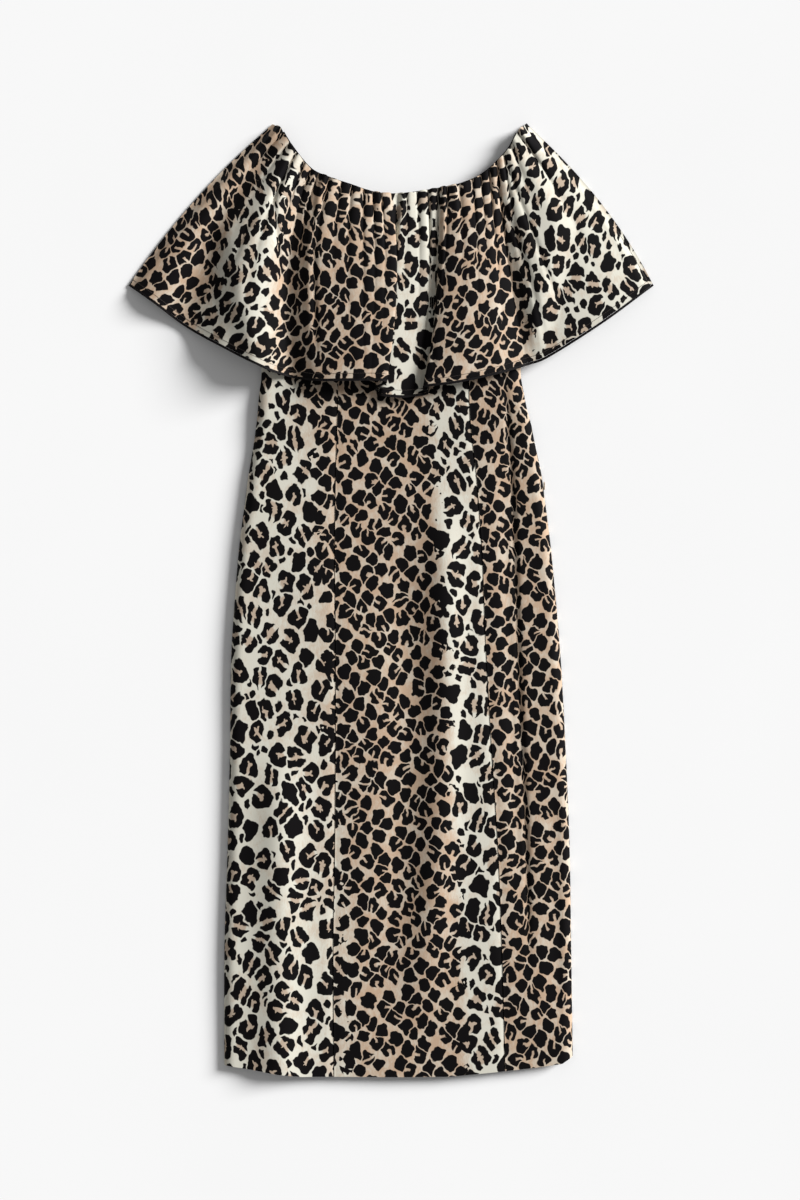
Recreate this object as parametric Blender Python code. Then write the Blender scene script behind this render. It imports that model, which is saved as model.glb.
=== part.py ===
"""Off-shoulder dress with a gathered flounce, laid flat on its back on a surface.

Frame: metres, +Z up. The hem points to -Y, the neckline to +Y, the front faces up.
The origin is the centre of the footprint, on the resting plane.
Tables are in millimetres and are read through MM.
"""

import math
from typing import NamedTuple

import bmesh
import bpy
import numpy as np

MM = 0.001

# Cloth and seams
CLOTH = 1.2
SEAM_GAP = 0.3
PANEL_STEP = CLOTH + SEAM_GAP

# Layers under the front, from the surface up
BACK_FOLD_HEIGHT = 3.0
BACK_RISE = PANEL_STEP + BACK_FOLD_HEIGHT
RISE_START_Y = 180.0
RISE_LENGTH = 65.0
FRONT_SEAT = 0.7
SIDE_ROUND = 14.0
SEAM_DIP = 0.8
SEAM_DIP_WIDTH = 5.0
NECK_FLATTEN = 40.0
CREASE_START_RATE = 5.0
CREASE_END_RATE = 3.0
LEFT_PANEL_WIDTH = 105.0
RIGHT_PANEL_WIDTH = 90.0
BACK_INSET = 1.0
HEM_Y = -590.0
NECKLINE_GUESS_Y = 540.0
NECKLINE_TRIES = 12

# Folded lower end of the side zip's tape
ZIP_TOP_Y = 148.0
ZIP_LENGTH = 10.0
ZIP_NARROW = 1.0
ZIP_SWELL = 1.6
ZIP_LEVEL = 2.6
ZIP_TILT = 0.6
ZIP_BULGE_START = 0.15
ZIP_BULGE_SPAN = 0.7

# Neckline casing
CASING_SHOW = 1.3
CASING_DEPTH = 9.0
CASING_SHARES = (0.045, 0.955)
BODICE_DROP = 3.0

# Flounce
GATHERS_FRONT = 28
GATHERS_BACK = 24
GATHER_HEIGHT = 4.2
GATHER_FADE = 0.2
GATHER_SPREAD = 0.2
GATHER_SWAYS = (9.0, 23.0)
CENTRE_FOLD_SHARE = 0.477
CENTRE_FOLD_SPAN = 0.022
BACK_NECK_DROP = 2.5
EDGE_ROUND = 14.0
EDGING_WIDTH = 3.0
BACK_EDGING_LIFT = 0.1
REST_CLEARANCE = 0.3
TWIST_CLEARANCE = 0.3
SUPPORT_SLOPE = 35.0
SUPPORT_START = 0.15

# Mesh fineness
CENTRE_COLUMNS = 19
CENTRE_ROWS = 27
SIDE_COLUMNS = 9
SIDE_ROWS = 23
SIDE_FOLD_ANGLES = (0, 25, 50, 70)
BACK_COLUMNS = 9
BACK_PANEL_ROWS = 29
CASING_COLUMNS = 44
ZIP_ROWS = 4
ZIP_COLUMNS = 3
COLUMN_STEP = 16.0
CLIMB_STEP = 2.2
LEAST_COLUMNS = 3
GATHER_COLUMNS = 4
BACK_GATHER_COLUMNS = 3
CURVE_POINTS = 400
NECKLINE_POINTS = 200
SHARP_ANGLE = 60.0
FLOUNCE_ROWS = (0.0, 0.035, 0.09, 0.16, 0.25, 0.36, 0.48, 0.61, 0.74, 0.87, 1.0)
BACK_ROWS = (0.0, 0.08, 0.2, 0.4, 0.6, 0.8, 1.0)


class Level(NamedTuple):
    """Half outline of the body at one height on the front, in millimetres."""
    y: float
    left: float
    left_seam: float
    right_seam: float
    right: float
    loft: float


class Fold(NamedTuple):
    """One ridge or valley of a flounce, at the neckline, half way and at the hem."""
    neck_share: float
    neck_height: float
    mid_x: float
    mid_y: float
    mid_height: float
    hem_x: float
    hem_y: float
    hem_height: float


class Crease(NamedTuple):
    """A soft trough that runs down the skirt, or a ridge where its depth is below 0."""
    top_x: float
    top_y: float
    end_x: float
    end_y: float
    bow: float
    width: float
    depth: float


class Tint(NamedTuple):
    """Colour, roughness and metallic value of one material."""
    red: float
    green: float
    blue: float
    roughness: float
    metallic: float


# Outline of the body and its two princess seams, armholes first
BODY = (
    Level(567, -125, -70, 95, 142, 3.0),
    Level(525, -156, -66, 91, 174, 3.4),
    Level(469, -197, -66, 90, 200, 5.0),
    Level(375, -181, -66, 92, 182, 6.0),
    Level(294, -163, -66, 97, 163, 7.5),
    Level(250, -166, -66, 98, 168, 9.0),
    Level(219, -169, -67, 100, 176, 10.0),
    Level(156, -179, -69, 107, 189, 11.5),
    Level(62, -191, -70, 114, 201, 12.0),
    Level(-62, -200, -69, 119, 212, 12.0),
    Level(-187, -202, -69, 126, 219, 11.0),
    Level(-312, -205, -70, 134, 224, 10.5),
    Level(-437, -209, -72, 139, 226, 10.0),
    Level(-597, -209, -71, 143, 228, 9.5),
)

# Lower edge of the skirt, from the left side seam to the right one
SKIRT_HEM = (
    (-209, -582), (-175, -587), (-144, -592), (-111, -596), (11, -596.5),
    (74, -596), (135, -590), (179, -585), (214, -580), (229, -570),
)

# Front neckline, from the left shoulder to the right one
NECKLINE = (
    (-149, 595), (-139, 590), (-125, 568), (-101, 539), (-76, 527), (-52, 519), (-21, 509),
    (11, 507), (61, 514), (94, 522), (120, 536), (146, 562), (159, 585), (170, 596),
)

FRONT_FOLDS = (
    Fold(0.00, 0.0, -242, 505, 0.0, -329, 394, 0.0),
    Fold(0.03, 1.0, -228, 487, 7.0, -297, 371, 9.0),
    Fold(0.07, 0.0, -207, 474, 1.0, -256, 341, 1.0),
    Fold(0.115, 2.0, -172, 449, 18.0, -204, 311, 22.5),
    Fold(0.16, 1.5, -146, 429, 15.0, -156, 287, 19.0),
    Fold(0.20, 0.0, -128, 418, 0.5, -126, 278, 0.5),
    Fold(0.235, 1.0, -112, 411, 7.0, -106, 274, 8.0),
    Fold(0.26, 2.0, -97, 407, 14.0, -86, 272, 15.5),
    Fold(0.32, 2.5, -64, 399, 18.0, -52, 272, 20.0),
    Fold(0.455, 5.0, 0, 395, 20.0, -13, 272, 20.5),
    Fold(0.470, 4.2, 5, 394, 15.5, -6, 269, 15.5),
    Fold(0.484, 3.0, -5, 391, 12.0, -22, 263, 11.0),
    Fold(0.498, 0.0, 1, 388, 0.5, -14, 258, 0.5),
    Fold(0.512, 3.5, 10, 386, 7.0, -5, 254, 7.0),
    Fold(0.535, 3.0, 25, 385, 7.0, 13, 252, 6.5),
    Fold(0.58, 1.5, 43, 385, 4.0, 32, 254, 3.5),
    Fold(0.62, 0.0, 55, 387, 0.5, 46, 257, 0.5),
    Fold(0.65, 3.5, 63, 390, 13.0, 41, 264, 16.0),
    Fold(0.70, 4.0, 92, 396, 17.0, 80, 269, 21.0),
    Fold(0.78, 2.0, 124, 408, 13.0, 130, 280, 16.0),
    Fold(0.84, 0.0, 147, 420, 2.0, 171, 293, 2.5),
    Fold(0.885, 1.0, 172, 437, 11.0, 199, 304, 12.0),
    Fold(0.95, 1.0, 222, 472, 10.0, 268, 348, 12.0),
    Fold(1.00, 0.0, 262, 499, 0.0, 329, 394, 0.0),
)

# The back flounce is pressed by the weight on it, so its folds are low
BACK_FOLDS = (
    Fold(0.00, 0.0, -239, 503, 0.0, -325, 394, 0.0),
    Fold(0.10, 0.6, -190, 462, 2.6, -262, 350, 3.0),
    Fold(0.20, 0.0, -148, 432, 0.2, -196, 316, 0.2),
    Fold(0.32, 0.8, -92, 409, 2.4, -118, 287, 2.8),
    Fold(0.44, 0.0, -38, 397, 0.2, -48, 273, 0.2),
    Fold(0.53, 0.8, 22, 394, 2.6, 20, 269, 3.0),
    Fold(0.64, 0.0, 68, 398, 0.2, 84, 275, 0.2),
    Fold(0.74, 0.8, 120, 410, 2.4, 150, 290, 2.8),
    Fold(0.83, 0.0, 164, 436, 0.2, 206, 315, 0.2),
    Fold(0.92, 0.6, 212, 468, 2.6, 266, 352, 3.0),
    Fold(1.00, 0.0, 259, 497, 0.0, 325, 394, 0.0),
)

SKIRT_CREASES = (
    Crease(143, 280, 171, -500, -5.0, 10.0, 3.0),
    Crease(10, 110, -14, -560, 18.0, 23.0, 3.3),
    Crease(62, 170, 34, -570, 18.0, 22.0, -7.5),
    Crease(206, -220, 208, -560, 2.0, 16.0, 2.4),
    Crease(-138, -150, -142, -800, 0.0, 26.0, -8.0),
)

PRINT_FRONT = Tint(0.32, 0.26, 0.21, 0.72, 0.0)
PRINT_SIDE = Tint(0.36, 0.31, 0.26, 0.72, 0.0)
PRINT_BACK = Tint(0.30, 0.25, 0.20, 0.72, 0.0)
PRINT_FLOUNCE = Tint(0.38, 0.33, 0.28, 0.70, 0.0)
BLACK_TRIM = Tint(0.012, 0.011, 0.011, 0.60, 0.0)
ZIP_TAPE = Tint(0.55, 0.48, 0.40, 0.65, 0.0)


def smooth_step(value):
    """Rise from 0 to 1 with level ends."""
    held = np.clip(value, 0.0, 1.0)
    return held * held * (3.0 - 2.0 * held)


def through_rows(table, places):
    """Read a table of evenly counted rows at fractional row numbers, on a smooth curve."""
    rows = np.asarray(table, dtype=float)
    last = len(rows) - 1
    base = np.clip(np.floor(places).astype(int), 0, last - 1)
    part = (places - base)[:, None]
    before = rows[np.maximum(base - 1, 0)]
    start = rows[base]
    stop = rows[base + 1]
    after = rows[np.minimum(base + 2, last)]
    leave = 0.5 * (stop - before)
    arrive = 0.5 * (after - start)
    cube = part ** 3
    square = part ** 2
    return ((2 * cube - 3 * square + 1) * start + (cube - 2 * square + part) * leave
            + (3 * square - 2 * cube) * stop + (cube - square) * arrive)


def body_value(column, y):
    """One column of the BODY table at height y."""
    heights = [level.y for level in BODY][::-1]
    values = [getattr(level, column) for level in BODY][::-1]
    places = np.interp(np.atleast_1d(y), heights, np.arange(len(heights)))
    return through_rows([[value] for value in values], places)[:, 0].reshape(np.shape(y))


def curve_by_share(points, shares):
    """Points at shares of the length of a smooth open curve."""
    places = np.linspace(0.0, len(points) - 1.0, CURVE_POINTS)
    dense = through_rows(points, places)
    steps = np.linalg.norm(np.diff(dense, axis=0), axis=1)
    length = np.concatenate([[0.0], np.cumsum(steps)])
    at = np.asarray(shares) * length[-1]
    return np.stack([np.interp(at, length, dense[:, axis]) for axis in range(2)], axis=-1)


def neckline_height(x):
    """Height of the front neckline over x."""
    points = curve_by_share(NECKLINE, np.linspace(0.0, 1.0, NECKLINE_POINTS))
    return np.interp(x, points[:, 0], points[:, 1])


def hem_height(x):
    """Height of the skirt's lower edge over x."""
    xs = [point[0] for point in SKIRT_HEM]
    ys = [point[1] for point in SKIRT_HEM]
    return np.interp(x, xs, ys)


def back_level(y):
    """Middle of the back panel's wall, which climbs onto the back flounce."""
    return CLOTH / 2 + BACK_RISE * smooth_step((y - RISE_START_Y) / RISE_LENGTH)


def crease_depth(x, y):
    """Depth of the soft troughs in the skirt's front."""
    total = np.zeros(np.shape(x))
    for crease in SKIRT_CREASES:
        way = (crease.top_y - y) / (crease.top_y - crease.end_y)
        inside = np.clip(way, 0.0, 1.0)
        centre = crease.top_x + (crease.end_x - crease.top_x) * inside
        centre = centre + crease.bow * np.sin(math.pi * inside)
        fade = smooth_step(way * CREASE_START_RATE) * smooth_step((1.0 - way) * CREASE_END_RATE)
        total = total + crease.depth * fade * np.exp(-((x - centre) / crease.width) ** 2)
    return total


def seam_depth(x, y):
    """Shallow dip along the two princess seams."""
    left = np.exp(-((x - body_value("left_seam", y)) / SEAM_DIP_WIDTH) ** 2)
    right = np.exp(-((x - body_value("right_seam", y)) / SEAM_DIP_WIDTH) ** 2)
    return SEAM_DIP * (left + right)


def front_level(x, y):
    """Middle of the front panels' wall above the resting plane."""
    left = x - (body_value("left", y) + CLOTH / 2)
    right = (body_value("right", y) - CLOTH / 2) - x
    inward = np.clip(np.minimum(left, right) / SIDE_ROUND, 0.0, 1.0)
    rounded = np.sqrt(1.0 - (1.0 - inward) ** 2)
    near_neck = smooth_step(1.0 - (neckline_height(x) - y) / NECK_FLATTEN)
    share = rounded + (1.0 - rounded) * near_neck
    relief = (crease_depth(x, y) + seam_depth(x, y)) * inward * (1.0 - near_neck)
    return back_level(y) + CLOTH + FRONT_SEAT + body_value("loft", y) * share - relief


def support_level(x, y, down):
    """Top of what lies under the front flounce."""
    body_top = back_level(y) + 1.5 * CLOTH + FRONT_SEAT + body_value("loft", y)
    low_top = PANEL_STEP + BACK_FOLD_HEIGHT
    outside = np.maximum(body_value("left", y) - x, x - body_value("right", y))
    away = smooth_step(outside / SUPPORT_SLOPE) * smooth_step(down / SUPPORT_START)
    return body_top + (low_top - body_top) * away


def grid_normals(points):
    """Unit normals of a grid of points, from its neighbours."""
    along = np.gradient(points, axis=1)
    down = np.gradient(points, axis=0)
    normals = np.cross(down, along)
    return normals / np.linalg.norm(normals, axis=-1, keepdims=True)


def thicken(points, upright_columns=()):
    """Upper and lower grids of a wall around a grid of its middle points.

    Columns named as upright, such as a seam's, take their thickness straight up.
    """
    normals = grid_normals(points)
    for column in upright_columns:
        normals[:, column] = (0.0, 0.0, 1.0)
    offset = normals * CLOTH / 2
    return points + offset, points - offset


def lay_thickness(points):
    """Upper and lower grids of a level wall, which keeps its underside flat."""
    offset = np.array([0.0, 0.0, CLOTH / 2])
    return points + offset, points - offset


def add_material(name, tint):
    """A Principled material of one colour."""
    material = bpy.data.materials.new(name)
    material.use_nodes = True
    shader = material.node_tree.nodes["Principled BSDF"]
    shader.inputs["Base Color"].default_value = (tint.red, tint.green, tint.blue, 1.0)
    shader.inputs["Roughness"].default_value = tint.roughness
    shader.inputs["Metallic"].default_value = tint.metallic
    return material


def add_object(name, builder, tint, parent):
    """Turn a finished bmesh into a named object with its own material."""
    mesh = bpy.data.meshes.new(name)
    builder.to_mesh(mesh)
    builder.free()
    mesh.shade_smooth()
    mesh.set_sharp_from_angle(angle=math.radians(SHARP_ANGLE))
    mesh.materials.append(add_material(name + "_cloth", tint))
    item = bpy.data.objects.new(name, mesh)
    item.parent = parent
    bpy.context.scene.collection.objects.link(item)
    return item


def add_grid_faces(builder, grid, flip):
    """Quads between neighbouring rows and columns of vertices."""
    rows = len(grid)
    columns = len(grid[0])
    for row in range(rows - 1):
        for column in range(columns - 1):
            corners = [grid[row][column], grid[row][column + 1],
                       grid[row + 1][column + 1], grid[row + 1][column]]
            builder.faces.new([corners[0]] + corners[:0:-1] if flip else corners)


def border(grid):
    """Vertices round the edge of a grid, in order."""
    top = list(grid[0])
    right = [row[-1] for row in grid[1:]]
    bottom = list(grid[-1][-2::-1])
    left = [row[0] for row in grid[-2:0:-1]]
    return top + right + bottom + left


def build_wall(name, upper, lower, tint, parent):
    """A closed cloth wall between two grids of points in millimetres."""
    builder = bmesh.new()
    grids = []
    for points in (upper, lower):
        grids.append([[builder.verts.new(point * MM) for point in row] for row in points])
    add_grid_faces(builder, grids[0], flip=False)
    add_grid_faces(builder, grids[1], flip=True)
    over = border(grids[0])
    under = border(grids[1])
    for index in range(len(over)):
        following = (index + 1) % len(over)
        builder.faces.new([over[following], over[index], under[index], under[following]])
    bmesh.ops.triangulate(builder, faces=builder.faces[:], quad_method="FIXED")
    if builder.calc_volume(signed=True) < 0.0:
        bmesh.ops.reverse_faces(builder, faces=builder.faces[:])
    return add_object(name, builder, tint, parent)


def body_grid(edges, across, rows, top_drop, level):
    """Middle points of a body panel between two columns of the BODY table.

    edges gives each side's column name and its inset; across holds shares of the
    width from the first side to the second.
    """
    points = np.zeros((len(rows), len(across), 3))
    for column, share in enumerate(across):
        y_top = panel_top(edges, share) - top_drop
        x_hem = panel_x(edges, share, HEM_Y)
        y = y_top + (hem_height(x_hem) - y_top) * np.asarray(rows)
        x = panel_x(edges, share, y)
        points[:, column, 0] = x
        points[:, column, 1] = y
        points[:, column, 2] = level(x, y)
    return points


def panel_x(edges, share, y):
    """Place across a panel: a share between its two sides."""
    first = body_value(edges[0][0], y) + edges[0][1]
    second = body_value(edges[1][0], y) + edges[1][1]
    return first + (second - first) * share


def panel_top(edges, share):
    """Height at which a share of a panel meets the neckline."""
    y = NECKLINE_GUESS_Y
    for _ in range(NECKLINE_TRIES):
        y = float(neckline_height(panel_x(edges, share, y)))
    return y


def rounded_shares(width):
    """Shares across a side panel, closer together round the side fold."""
    fold = [SIDE_ROUND * (1.0 - math.cos(math.radians(angle))) / width for angle in SIDE_FOLD_ANGLES]
    flat = np.linspace(SIDE_ROUND / width, 1.0, SIDE_COLUMNS)
    return fold + list(flat)


def build_body_front(parent):
    """Centre front and the two side fronts, seamed 0.3 mm apart."""
    half_gap = SEAM_GAP / 2
    inset = CLOTH / 2
    down = np.linspace(0.0, 1.0, CENTRE_ROWS)
    side_down = np.linspace(0.0, 1.0, SIDE_ROWS)
    panels = (
        ("body_front_centre", (("left_seam", half_gap), ("right_seam", -half_gap)),
         np.linspace(0.0, 1.0, CENTRE_COLUMNS), down, (0, -1), PRINT_FRONT),
        ("body_front_left", (("left", inset), ("left_seam", -half_gap)),
         rounded_shares(LEFT_PANEL_WIDTH), side_down, (-1,), PRINT_SIDE),
        ("body_front_right", (("right", -inset), ("right_seam", half_gap)),
         rounded_shares(RIGHT_PANEL_WIDTH), side_down, (0,), PRINT_SIDE),
    )
    for name, edges, across, rows, upright, tint in panels:
        middle = body_grid(edges, across, rows, BODICE_DROP, front_level)
        if edges[0][0] == "right":
            middle = middle[:, ::-1]
        upper, lower = thicken(middle, upright)
        build_wall(name, upper, lower, tint, parent)


def build_body_back(parent):
    """Back panel, flat on the surface and raised where it lies on the back flounce."""
    edges = (("left", BACK_INSET), ("right", -BACK_INSET))
    across = np.linspace(0.0, 1.0, BACK_COLUMNS)
    rows = np.linspace(0.0, 1.0, BACK_PANEL_ROWS)
    middle = body_grid(edges, across, rows, BODICE_DROP, lambda x, y: back_level(y))
    upper, lower = lay_thickness(middle)
    build_wall("body_back", upper, lower, PRINT_BACK, parent)


def fold_places(folds, gathers, columns_per_gather):
    """Fractional row numbers for a flounce's columns, close enough for its gathers."""
    places = [0.0]
    for index in range(len(folds) - 1):
        here = folds[index]
        following = folds[index + 1]
        waves = (following.neck_share - here.neck_share) * gathers * columns_per_gather
        reach = math.hypot(following.hem_x - here.hem_x, following.hem_y - here.hem_y)
        climb = abs(following.hem_height - here.hem_height)
        spread = math.ceil((reach + climb) / COLUMN_STEP)
        count = max(round(waves), spread, math.ceil(climb / CLIMB_STEP), LEAST_COLUMNS)
        places.extend(index + (step + 1) / count for step in range(count))
    return np.array(places)


def three_stations(first, middle, last, way):
    """Value on the parabola through the neckline, half way and the hem."""
    weight_first = (1.0 - way) * (1.0 - 2.0 * way)
    weight_middle = 4.0 * way * (1.0 - way)
    weight_last = way * (2.0 * way - 1.0)
    return first * weight_first + middle * weight_middle + last * weight_last


def gather_wave(shares, way, gathers):
    """Small gathers at the neckline, fading towards the hem and uneven in height."""
    phase = 2.0 * math.pi * gathers * shares
    sway = np.sin(GATHER_SWAYS[0] * shares + 2.0 * np.sin(GATHER_SWAYS[1] * shares))
    uneven = 1.0 - GATHER_SPREAD + GATHER_SPREAD * sway
    return 0.5 * (1.0 + np.cos(phase)) * uneven * math.exp(-way / GATHER_FADE)


def flounce_middle(folds, gathers, rows, columns_per_gather, drop):
    """Plan places and fold heights of a flounce, row by row from the neckline."""
    places = fold_places(folds, gathers, columns_per_gather)
    columns = through_rows([tuple(fold) for fold in folds], places)
    table = dict(zip(Fold._fields, columns.T))
    shares = np.clip(table["neck_share"], 0.0, 1.0)
    neck = curve_by_share(NECKLINE, shares)
    neck[:, 1] -= drop * np.sin(math.pi * shares) ** 0.5
    points = np.zeros((len(rows), len(places), 3))
    for row, way in enumerate(rows):
        points[row, :, 0] = three_stations(neck[:, 0], table["mid_x"], table["hem_x"], way)
        points[row, :, 1] = three_stations(neck[:, 1], table["mid_y"], table["hem_y"], way)
        height = three_stations(table["neck_height"], table["mid_height"], table["hem_height"], way)
        points[row, :, 2] = np.maximum(height, 0.0)
    return points, shares


def side_round(points):
    """Share of full height near the two side edges of a flounce, 0 at the edge."""
    from_left = np.linalg.norm(points[:, :, :2] - points[:, :1, :2], axis=-1)
    from_right = np.linalg.norm(points[:, :, :2] - points[:, -1:, :2], axis=-1)
    return smooth_step(np.minimum(from_left, from_right) / EDGE_ROUND)


def trim_hem(points, length):
    """Pull the last row back so that the edging fits outside it."""
    run = points[-1] - points[-2]
    size = np.linalg.norm(run, axis=-1, keepdims=True)
    points[-1] = points[-1] - run / size * length
    return points


def build_edging(name, middle, parent):
    """Narrow black edging along a flounce's hem, made from the hem's own points."""
    last = middle[-1]
    run = last - middle[-2]
    run = run / np.linalg.norm(run, axis=-1, keepdims=True)
    normals = grid_normals(np.stack([middle[-2], last]))[-1:]
    twist = np.linalg.norm(np.gradient(normals[0], axis=0), axis=-1, keepdims=True)
    near = last + run * (SEAM_GAP + TWIST_CLEARANCE * twist)
    far = near + run * EDGING_WIDTH
    strip = np.stack([near, far])
    offset = normals * CLOTH / 2
    build_wall(name, strip + offset, strip - offset, BLACK_TRIM, parent)


def build_flounce_front(parent):
    """Front flounce: deep folds over the bodice, gathered at the neckline."""
    points, shares = flounce_middle(FRONT_FOLDS, GATHERS_FRONT, FLOUNCE_ROWS, GATHER_COLUMNS, 0.0)
    rounding = side_round(points)
    seat = PANEL_STEP + CLOTH / 2
    in_centre_fold = np.exp(-((shares - CENTRE_FOLD_SHARE) / CENTRE_FOLD_SPAN) ** 2)
    for row, way in enumerate(FLOUNCE_ROWS):
        x = points[row, :, 0]
        y = points[row, :, 1]
        wave = gather_wave(shares, way, GATHERS_FRONT) * (1.0 - in_centre_fold)
        rest = support_level(x, y, way) + SEAM_GAP + CLOTH / 2 + REST_CLEARANCE
        height = rest + points[row, :, 2] + GATHER_HEIGHT * wave
        points[row, :, 2] = seat + (height - seat) * rounding[row]
    middle = trim_hem(points, EDGING_WIDTH + SEAM_GAP)
    upper, lower = thicken(middle)
    build_wall("flounce_front", upper, lower, PRINT_FLOUNCE, parent)
    build_edging("flounce_front_edging", middle, parent)


def build_flounce_back(parent):
    """Back flounce: the same cut, pressed low under the dress."""
    points, shares = flounce_middle(
        BACK_FOLDS, GATHERS_BACK, BACK_ROWS, BACK_GATHER_COLUMNS, BACK_NECK_DROP)
    rounding = side_round(points)
    for row, way in enumerate(BACK_ROWS):
        wave = gather_wave(shares, way, GATHERS_BACK)
        height = np.minimum(points[row, :, 2] + wave, BACK_FOLD_HEIGHT)
        points[row, :, 2] = CLOTH / 2 + height * rounding[row]
    middle = trim_hem(points, EDGING_WIDTH + SEAM_GAP)
    upper, lower = lay_thickness(middle)
    build_wall("flounce_back", upper, lower, PRINT_FLOUNCE, parent)
    raised = middle + np.array([0.0, 0.0, BACK_EDGING_LIFT])
    build_edging("flounce_back_edging", raised, parent)


def build_casing(name, level, parent):
    """Black neckline casing, of which a narrow line shows above the flounce."""
    shares = np.linspace(CASING_SHARES[0], CASING_SHARES[1], CASING_COLUMNS)
    line = curve_by_share(NECKLINE, shares)
    along = np.gradient(line, axis=0)
    along = along / np.linalg.norm(along, axis=1, keepdims=True)
    outward = np.stack([-along[:, 1], along[:, 0]], axis=1)
    points = np.zeros((3, len(shares), 3))
    for row, reach in enumerate((CASING_SHOW, -CASING_DEPTH / 2, -CASING_DEPTH)):
        points[row, :, :2] = line + outward * reach
        points[row, :, 2] = level
    upper, lower = lay_thickness(points)
    build_wall(name, upper, lower, BLACK_TRIM, parent)


def build_casings(parent):
    """Front and back halves of the casing, stacked between the body's layers."""
    back = CLOTH / 2 + BACK_RISE + PANEL_STEP
    build_casing("neck_casing_back", back, parent)
    build_casing("neck_casing_front", back + PANEL_STEP, parent)


def build_zip_end(parent):
    """Folded lower end of the concealed side zip's tape, at the right side seam."""
    rows = np.linspace(0.0, 1.0, ZIP_ROWS)
    across = np.linspace(0.0, 1.0, ZIP_COLUMNS)
    points = np.zeros((len(rows), len(across), 3))
    for row, way in enumerate(rows):
        y = ZIP_TOP_Y - ZIP_LENGTH * way
        edge = float(body_value("right", y)) + SEAM_GAP
        reach = ZIP_NARROW + ZIP_SWELL * math.sin(math.pi * (ZIP_BULGE_START + ZIP_BULGE_SPAN * way))
        points[row, :, 0] = edge + reach * across
        points[row, :, 1] = y
        points[row, :, 2] = ZIP_LEVEL - ZIP_TILT * across
    upper, lower = lay_thickness(points)
    build_wall("side_zip_end", upper, lower, ZIP_TAPE, parent)


def main():
    """Clear the scene and build every piece of the dress."""
    for item in list(bpy.data.objects):
        bpy.data.objects.remove(item)
    dress = bpy.data.objects.new("dress", None)
    bpy.context.scene.collection.objects.link(dress)
    build_flounce_back(dress)
    build_body_back(dress)
    build_casings(dress)
    build_body_front(dress)
    build_flounce_front(dress)
    build_zip_end(dress)


main()
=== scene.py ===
"""Off-shoulder dress with a gathered flounce, laid flat on its back: how it looks.

The sizes and tables repeat the construction of the solids, in millimetres, and the
cloth is drawn finer here. The hem points to -Y, the neckline to +Y, the front faces up.
"""

import logging
import math
from dataclasses import dataclass
from enum import Enum
from typing import Any, Callable, NamedTuple

import bpy
import numpy as np
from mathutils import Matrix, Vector


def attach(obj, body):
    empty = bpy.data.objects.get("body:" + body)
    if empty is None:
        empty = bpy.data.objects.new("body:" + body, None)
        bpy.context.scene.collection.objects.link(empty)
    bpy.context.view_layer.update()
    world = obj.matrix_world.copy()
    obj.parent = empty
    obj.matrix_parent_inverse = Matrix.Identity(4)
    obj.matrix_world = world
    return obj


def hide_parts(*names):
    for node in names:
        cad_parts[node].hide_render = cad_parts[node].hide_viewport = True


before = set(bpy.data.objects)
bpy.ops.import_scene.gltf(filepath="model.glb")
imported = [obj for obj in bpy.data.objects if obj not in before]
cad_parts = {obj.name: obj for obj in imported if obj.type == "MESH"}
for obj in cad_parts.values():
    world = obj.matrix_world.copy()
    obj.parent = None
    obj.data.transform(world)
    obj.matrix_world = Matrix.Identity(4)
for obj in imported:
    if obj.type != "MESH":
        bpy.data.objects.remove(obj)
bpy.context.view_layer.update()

log = logging.getLogger("dress")

MM = 0.001
MM_IN_METRE = 1000.0
CURVE_SAMPLES = 400
NECKLINE_SAMPLES = 200

# Cloth, seams and layers
CLOTH = 1.2
SHELL = 1.0
SEAM_GAP = 0.3
PANEL_STEP = CLOTH + SEAM_GAP
BACK_FOLD_HEIGHT = 3.0
BACK_RISE = PANEL_STEP + BACK_FOLD_HEIGHT
RISE_START_Y = 180.0
RISE_LENGTH = 65.0
FRONT_SEAT = 0.7
SIDE_ROUND = 14.0
SEAM_DIP = 0.8
SEAM_DIP_WIDTH = 5.0
SEAM_STEP = 0.55
SEAM_STEP_WIDTH = 3.0
BODICE_DROP = 3.0
NECK_FLATTEN = 40.0
CREASE_START_RATE = 5.0
CREASE_END_RATE = 3.0
PINCH_SAMPLES = 12
PINCH_START_RATE = 6.0
PINCH_END_RATE = 4.0
PINCH_HOLD = 0.3
PINCH_SPREAD = 0.6

# Flounce
GATHERS_FRONT = 28
GATHERS_BACK = 24
GATHER_HEIGHT = 6.2
GATHER_FADE = 0.32
GATHER_TAKEN = 1.5
FAN_X = 11.0
FAN_Y = 1150.0
FAN_RADIUS = 820.0
EDGE_ROUND = 14.0
EDGING_WIDTH = 3.0
SUPPORT_SLOPE = 35.0
SUPPORT_START = 0.15
REST_CLEARANCE = 0.3
CENTRE_FOLD_SHARE = 0.477
CENTRE_FOLD_SPAN = 0.022
FLAT_HEIGHT = 3.0
GATHER_VALLEY = 0.13
GATHER_ROUND = 0.35
NECK_BUMP = 1.6
NECK_BUMP_FADE = 0.02
STRIP_CROWDING = 6.0
LEAST_STEP = 0.2
DROP_POWER = 0.5
ROW_POWER = 1.15
COLUMN_REACH = 3.6
LEAST_COLUMNS = 6
EDGING_SHARE = 0.8
EDGING_REACHES = (SEAM_GAP, 0.8, 1.5, EDGING_WIDTH + SEAM_GAP)
EDGING_THINNER = 0.05
CASING_THINNER = 0.1

# Panels: where they meet the neckline, and the columns beside a seam
NECKLINE_GUESS_Y = 540.0
NECKLINE_TRIES = 12
HEM_Y = -590.0
SEAM_COLUMNS = (0.0, 0.5, 1.0, 1.6, 2.4, 3.4)
CLOSEST_COLUMNS = 0.3
SHARP_ANGLE = 60.0
PANEL_LENGTH = 1100.0
BAND_WIDTH = 600.0
BAND_LEAN = 0.06

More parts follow.
